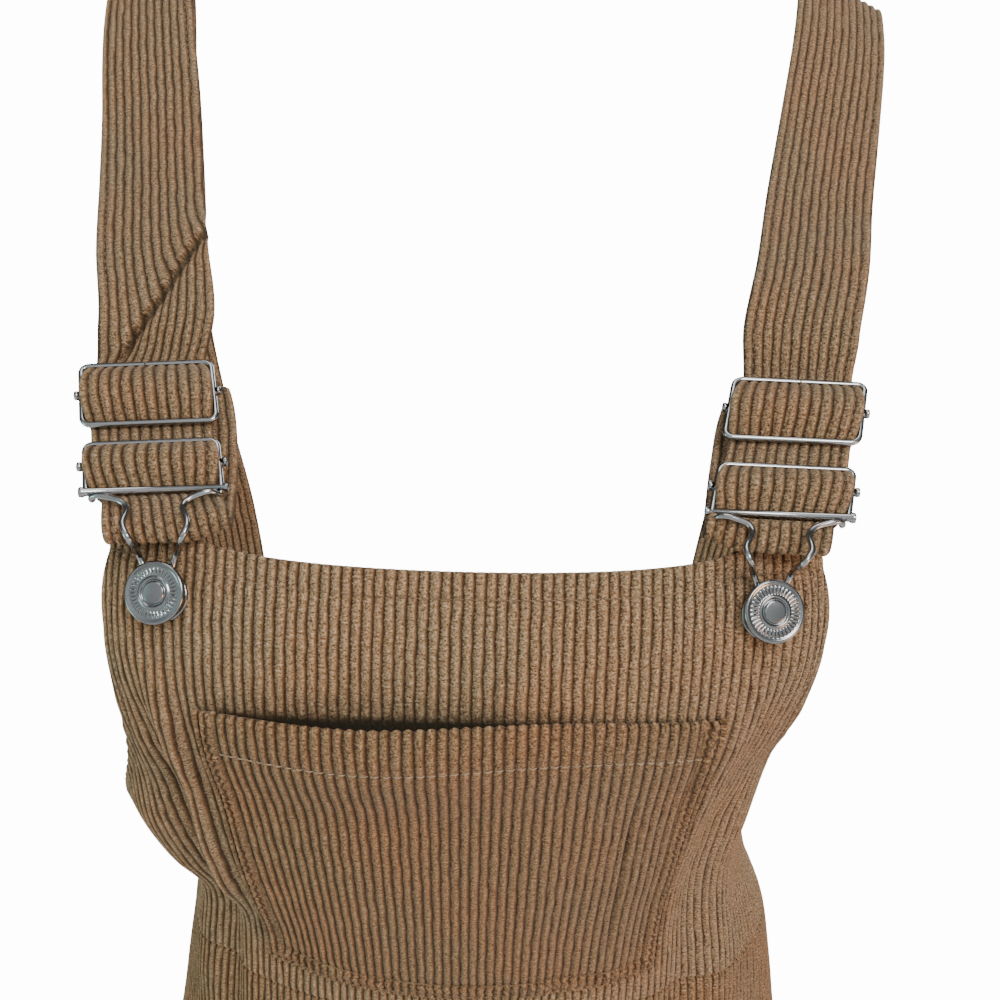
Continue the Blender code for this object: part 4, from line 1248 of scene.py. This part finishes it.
buttons = {
    "girth": 89.1, "stem": 2.3, "baseRadius": 7.4, "baseShift": 1.0, "baseThick": 0.9,
    "steps": 216, "turn": 10.0, "tick": 0.36, "ticks": 36, "tickFrom": 5.4, "tickTo": 7.3,
    "cap": [  # radius, and height above the cap's foot
        (0, 2.36), (2.78, 2.36), (2.95, 2.34), (3.15, 2.25), (3.3, 1.75), (3.55, 1.62),
        (3.85, 1.75), (4.05, 2.1), (4.35, 2.2), (4.65, 2.1), (4.85, 1.85), (5.2, 1.8),
        (5.6, 1.8), (6.1, 1.8), (6.6, 1.8), (7.1, 1.8), (7.5, 1.8), (7.9, 1.86), (8.2, 2.05),
        (8.6, 2.1), (8.95, 1.95), (9.2, 1.6), (9.3, 1.1), (9.1, 0.4), (7.7, 0.0),
    ],
}


def buttonFrame(side):
    girth = np.array([-buttons["girth"] * side["sign"]])
    spot = clothPoints("front", side["button"], girth, waleRise)[0]
    x, y, z = readFace("front", side["button"], girth)[1][0]
    turn = math.radians(buttons["turn"]) * side["sign"]
    cos, sin = math.cos(turn), math.sin(turn)
    out = unit((x * cos - y * sin, x * sin + y * cos, z))
    tilt = math.radians(side["tilt"]) * side["sign"]
    across = np.array([math.cos(tilt), 0, math.sin(tilt)])
    across = unit(across - np.dot(across, out) * out)
    down = unit(np.cross(out, across))
    return spot, across, (-down if down[2] > 0 else down), out


def makeHook(side):
    at = bucklePlane(side)
    rodAt = metal["buckleRodAt"] + side["buckle"]
    spot, across, down, out = buttonFrame(side)
    height = seamGap + buttons["baseThick"] + seamGap + metal["hookWire"]
    turn = metal["buckleRod"] + passGap + metal["hookWire"]
    keeper = buttons["stem"] + seamGap + metal["hookWire"]
    spread = metal["hookSpread"]

    loopEnd = max(side["foot"] - rodAt + 4.0, 18.5)
    bend = [  # distance from the middle, below the rod and out of the plane
        (18.2, turn + 0.1, 1.2), (16.8, turn + 0.4, 2.3), (12.6, 4.2, 2.5), (10.2, 5.2, 2.5),
        (8.6, 6.6, 2.5), (7.9, 8.3, 2.8), (8.4, 10.8, 3.6), (9.3, 14.0, 4.3), (9.1, 16.6, 4.6),
        (8.0, loopEnd, 4.6),
    ]

    def half(hand):
        line = []
        for angle in (200, 170, 140, 115, 90):  # round the back of the rod, under its end
            back = math.radians(angle)
            line.append(at(hand * spread, rodAt + turn * math.sin(back), turn * math.cos(back)))
        for wide, low, rise in bend:
            shift = metal["hookShift"] * np.clip((spread - wide) / 6, 0, 1)
            line.append(at(hand * wide + shift, rodAt + low, rise))
        for wide, low in ((5.6, -10.4), (4.2, -7.4), (keeper + 0.15, -3.4)):
            line.append(spot + hand * wide * across + low * down + height * out)
        for angle in (0, 30, 60, 90):
            t = math.radians(angle)
            line.append(spot + keeper * (hand * math.cos(t) * across + math.sin(t) * down)
                        + height * out)
        return line

    path = curvePath(half(1)[:-1] + half(-1)[::-1], 0.7)
    for step in range(18):  # the bend by the rod stays tight, the part by the button is eased
        soft = (path[:-2] + 2 * path[1:-1] + path[2:]) / 4
        middle = np.abs(np.linspace(-1, 1, len(path))[1:-1]) < 0.56
        eased = np.where(middle | (step < 4), 1.0, 0.0)[:, None]
        path[1:-1] += (soft - path[1:-1]) * eased
    metalPiece(f"hook{side['name']}Wire", [wireMesh(path, metal["hookWire"], False)], wireNickel,
               "hook_" + side["node"])


def turnedMesh(profile, steps, origin, across, out):
    # a profile of radius and height, spun about the button's axis
    shape = bmesh.new()
    verts = [shape.verts.new((radius, 0, height)) for radius, height in profile]
    for a, b in zip(verts, verts[1:]):
        shape.edges.new((a, b))
    bmesh.ops.spin(shape, geom=shape.verts[:] + shape.edges[:], cent=(0, 0, 0), axis=(0, 0, 1),
                   angle=2 * math.pi, steps=steps, use_merge=True)
    bmesh.ops.remove_doubles(shape, verts=shape.verts, dist=0.001)
    for vert in shape.verts:  # a plain ring of ticks in the dish
        radius = math.hypot(vert.co.x, vert.co.y)
        dished = buttons["tickFrom"] < radius < buttons["tickTo"]
        if dished and vert.co.z > profile[-2][1] + 0.5:
            angle = math.atan2(vert.co.y, vert.co.x)
            vert.co.z += buttons["tick"] * max(0.0, math.cos(angle * buttons["ticks"]) - 0.1)
    forward = np.cross(out, across)
    turned = matrixOf(np.array([across, forward, out]) * 0.001, place(origin))
    bmesh.ops.transform(shape, matrix=turned, verts=shape.verts)
    return meshFrom(shape, "turned")


def makeButton(side):
    spot, across, down, out = buttonFrame(side)
    thick, rim = buttons["baseThick"], buttons["baseRadius"]
    low = seamGap + thick + seamGap
    cap = low + 2 * metal["hookWire"] + seamGap
    profile = [(radius, cap + high) for radius, high in buttons["cap"]]
    profile += [(buttons["stem"], cap), (buttons["stem"], low), (0, low)]
    capMesh = turnedMesh(profile, buttons["steps"], spot, across, out)
    metalPiece(f"button{side['name']}Cap", [capMesh], buttonNickel, "button_" + side["node"])
    base = [(0, seamGap + thick), (rim - 0.6, seamGap + thick), (rim - 0.15, seamGap + thick * 0.8),
            (rim, seamGap + thick * 0.5), (rim - 0.3, seamGap), (0, seamGap)]
    shift = buttons["baseShift"] * (side["sign"] * across + down)
    baseMesh = turnedMesh(base, 64, spot + shift, across, out)
    metalPiece(f"button{side['name']}Base", [baseMesh], buttonNickel, "button_base_" + side["node"])


for side in sides:
    makeSlider(side)
    makeBuckle(side)
    makeHook(side)
    makeButton(side)
print("metal made")

# what each sheet of cloth was cut to

sheetFacts = (
    (bibFront, "bib_front", "hung", ["buttonLeftCap", "buttonRightCap"], [bibThreads]),
    (bibBack, "bib_back", "hung", ["strapLeftCloth", "strapRightCloth"], [backThreads]),
    (skirtFront, "skirt_front", "hung", ["bibFrontCloth"], [skirtThreads["front"]]),
    (skirtBack, "skirt_back", "hung", ["bibBackCloth"], [skirtThreads["back"]]),
    (bibPocket, "bib_pocket", "hung", ["bibFrontCloth"], [pocketHemThreads, pocketThreads]),
)
for piece, node, held, restsOn, withPieces in sheetFacts:
    width, length = (round(value, 3) for value in piece["flat"])
    area = round(min(piece["area"], 0.999 * width * length), 4)
    print(piece["name"], "cut", width, "x", length, "m, area", area)
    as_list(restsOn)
    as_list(withPieces)
for side in sides:
    size = (straps["width"] * 0.001, round(side["strapLength"] * 0.001, 3))
    print("strap", side["name"], "cut", size)

# floor, light and camera

studio = {
    "floorAt": -0.8125, "floorHalf": 6.0,
    "cameraAt": (0.0095, -0.536, -0.0996), "focal": 1240.0, "sensor": 36.0,
    "pitch": 12.0, "roll": 1.5, "white": 14.0, "ambient": 0.5,
    "skyAim": (0.0, -0.9, 0.44),
    "sky": [(0.0, 0.06), (0.55, 0.20), (0.80, 0.80), (1.0, 1.9)],
    "lights": [  # name, place, aim, size, power and colour
        ("keyLight", (0.70, -1.8, 1.05), (0.0, -0.1, -0.3), 1.0, 30.5, (1.0, 0.96, 0.91)),
        ("leftFill", (-1.9, -1.1, 0.2), (0.0, -0.1, -0.3), 1.4, 3.2, (0.66, 1.0, 1.0)),
        ("lowWarm", (1.35, -0.95, -0.72), (0.13, -0.15, -0.43), 0.6, 10.0, (1.0, 0.47, 0.18)),
        ("lowCool", (-1.5, -0.55, -0.65), (-0.13, -0.14, -0.42), 0.6, 5.0, (0.50, 1.0, 0.85)),
        ("topLight", (0.0, -0.3, 2.0), (0.0, -0.1, -0.3), 1.4, 15.0, (1.0, 0.99, 0.97)),
        ("backLight", (0.8, 1.9, 0.8), (0.0, 0.0, -0.3), 1.5, 20.0, (1.0, 0.99, 0.97)),
    ],
}


def aimed(origin, target):
    forward = unit(np.array(target) - np.array(origin))
    sideways = unit(np.cross(forward, (0, 0, 1)))
    return matrixOf([sideways, np.cross(sideways, forward), -forward], origin)


def whiteInSight(tree, surface, white, end):
    # what the camera sees directly is plain white
    path = addNode(tree, "ShaderNodeLightPath")
    mix = addNode(tree, "ShaderNodeMixShader", {
        0: path.outputs["Is Camera Ray"], 1: surface.outputs[0], 2: white.outputs[0]})
    tree.links.new(mix.outputs[0], tree.nodes[end].inputs[0])


def makeStudio():
    shape = bmesh.new()
    bmesh.ops.create_grid(shape, x_segments=2, y_segments=2, size=studio["floorHalf"])
    bmesh.ops.translate(shape, vec=(0, 0, studio["floorAt"]), verts=shape.verts)
    mesh = meshFrom(shape, "floor")
    floor = newObject("floor", mesh)
    material, tree, shader = nodeMaterial("floorPaper")
    shader.inputs["Base Color"].default_value = (0.9, 0.9, 0.9, 1)
    shader.inputs["Roughness"].default_value = 0.9
    glow = addNode(tree, "ShaderNodeEmission", {"Color": (1, 1, 1, 1), "Strength": studio["white"]})
    whiteInSight(tree, shader, glow, "Material Output")
    mesh.materials.append(material)

    world = bpy.data.worlds.new("studioWorld")
    world.use_nodes = True
    tree = world.node_tree
    background = tree.nodes["Background"]
    where = addNode(tree, "ShaderNodeTexCoord")
    facing = addNode(tree, "ShaderNodeVectorMath", {
        0: where.outputs["Generated"], 1: studio["skyAim"]}, operation="DOT_PRODUCT")
    level = addNode(tree, "ShaderNodeMapRange", {
        "Value": facing.outputs["Value"], "From Min": -1.0, "From Max": 1.0})
    sky = ramp(tree, level.outputs[0], studio["sky"])
    tree.links.new(sky, background.inputs["Color"])
    background.inputs["Strength"].default_value = studio["ambient"]
    white = addNode(tree, "ShaderNodeBackground", {
        "Color": (1, 1, 1, 1), "Strength": studio["white"]})
    whiteInSight(tree, background, white, "World Output")
    bpy.context.scene.world = world

    for name, spot, target, size, power, colour in studio["lights"]:
        data = bpy.data.lights.new(name, "AREA")
        data.shape = "DISK"
        data.size = size
        data.energy = power
        data.color = colour
        newObject(name, data).matrix_world = aimed(spot, target)

    data = bpy.data.cameras.new("camera")
    data.sensor_width = studio["sensor"]
    data.lens = studio["focal"] / 1000 * studio["sensor"]
    data.clip_start = 0.01
    camera = newObject("camera", data)
    pitch, roll = math.radians(studio["pitch"]), math.radians(studio["roll"])
    forward = np.array([0, math.cos(pitch), -math.sin(pitch)])
    up = np.array([0, math.sin(pitch), math.cos(pitch)])
    right = np.array([math.cos(roll), 0, 0]) + up * math.sin(roll)
    camera.matrix_world = matrixOf([right, np.cross(right, forward), -forward], studio["cameraAt"])
    bpy.context.scene.camera = camera


makeStudio()
print("studio made")
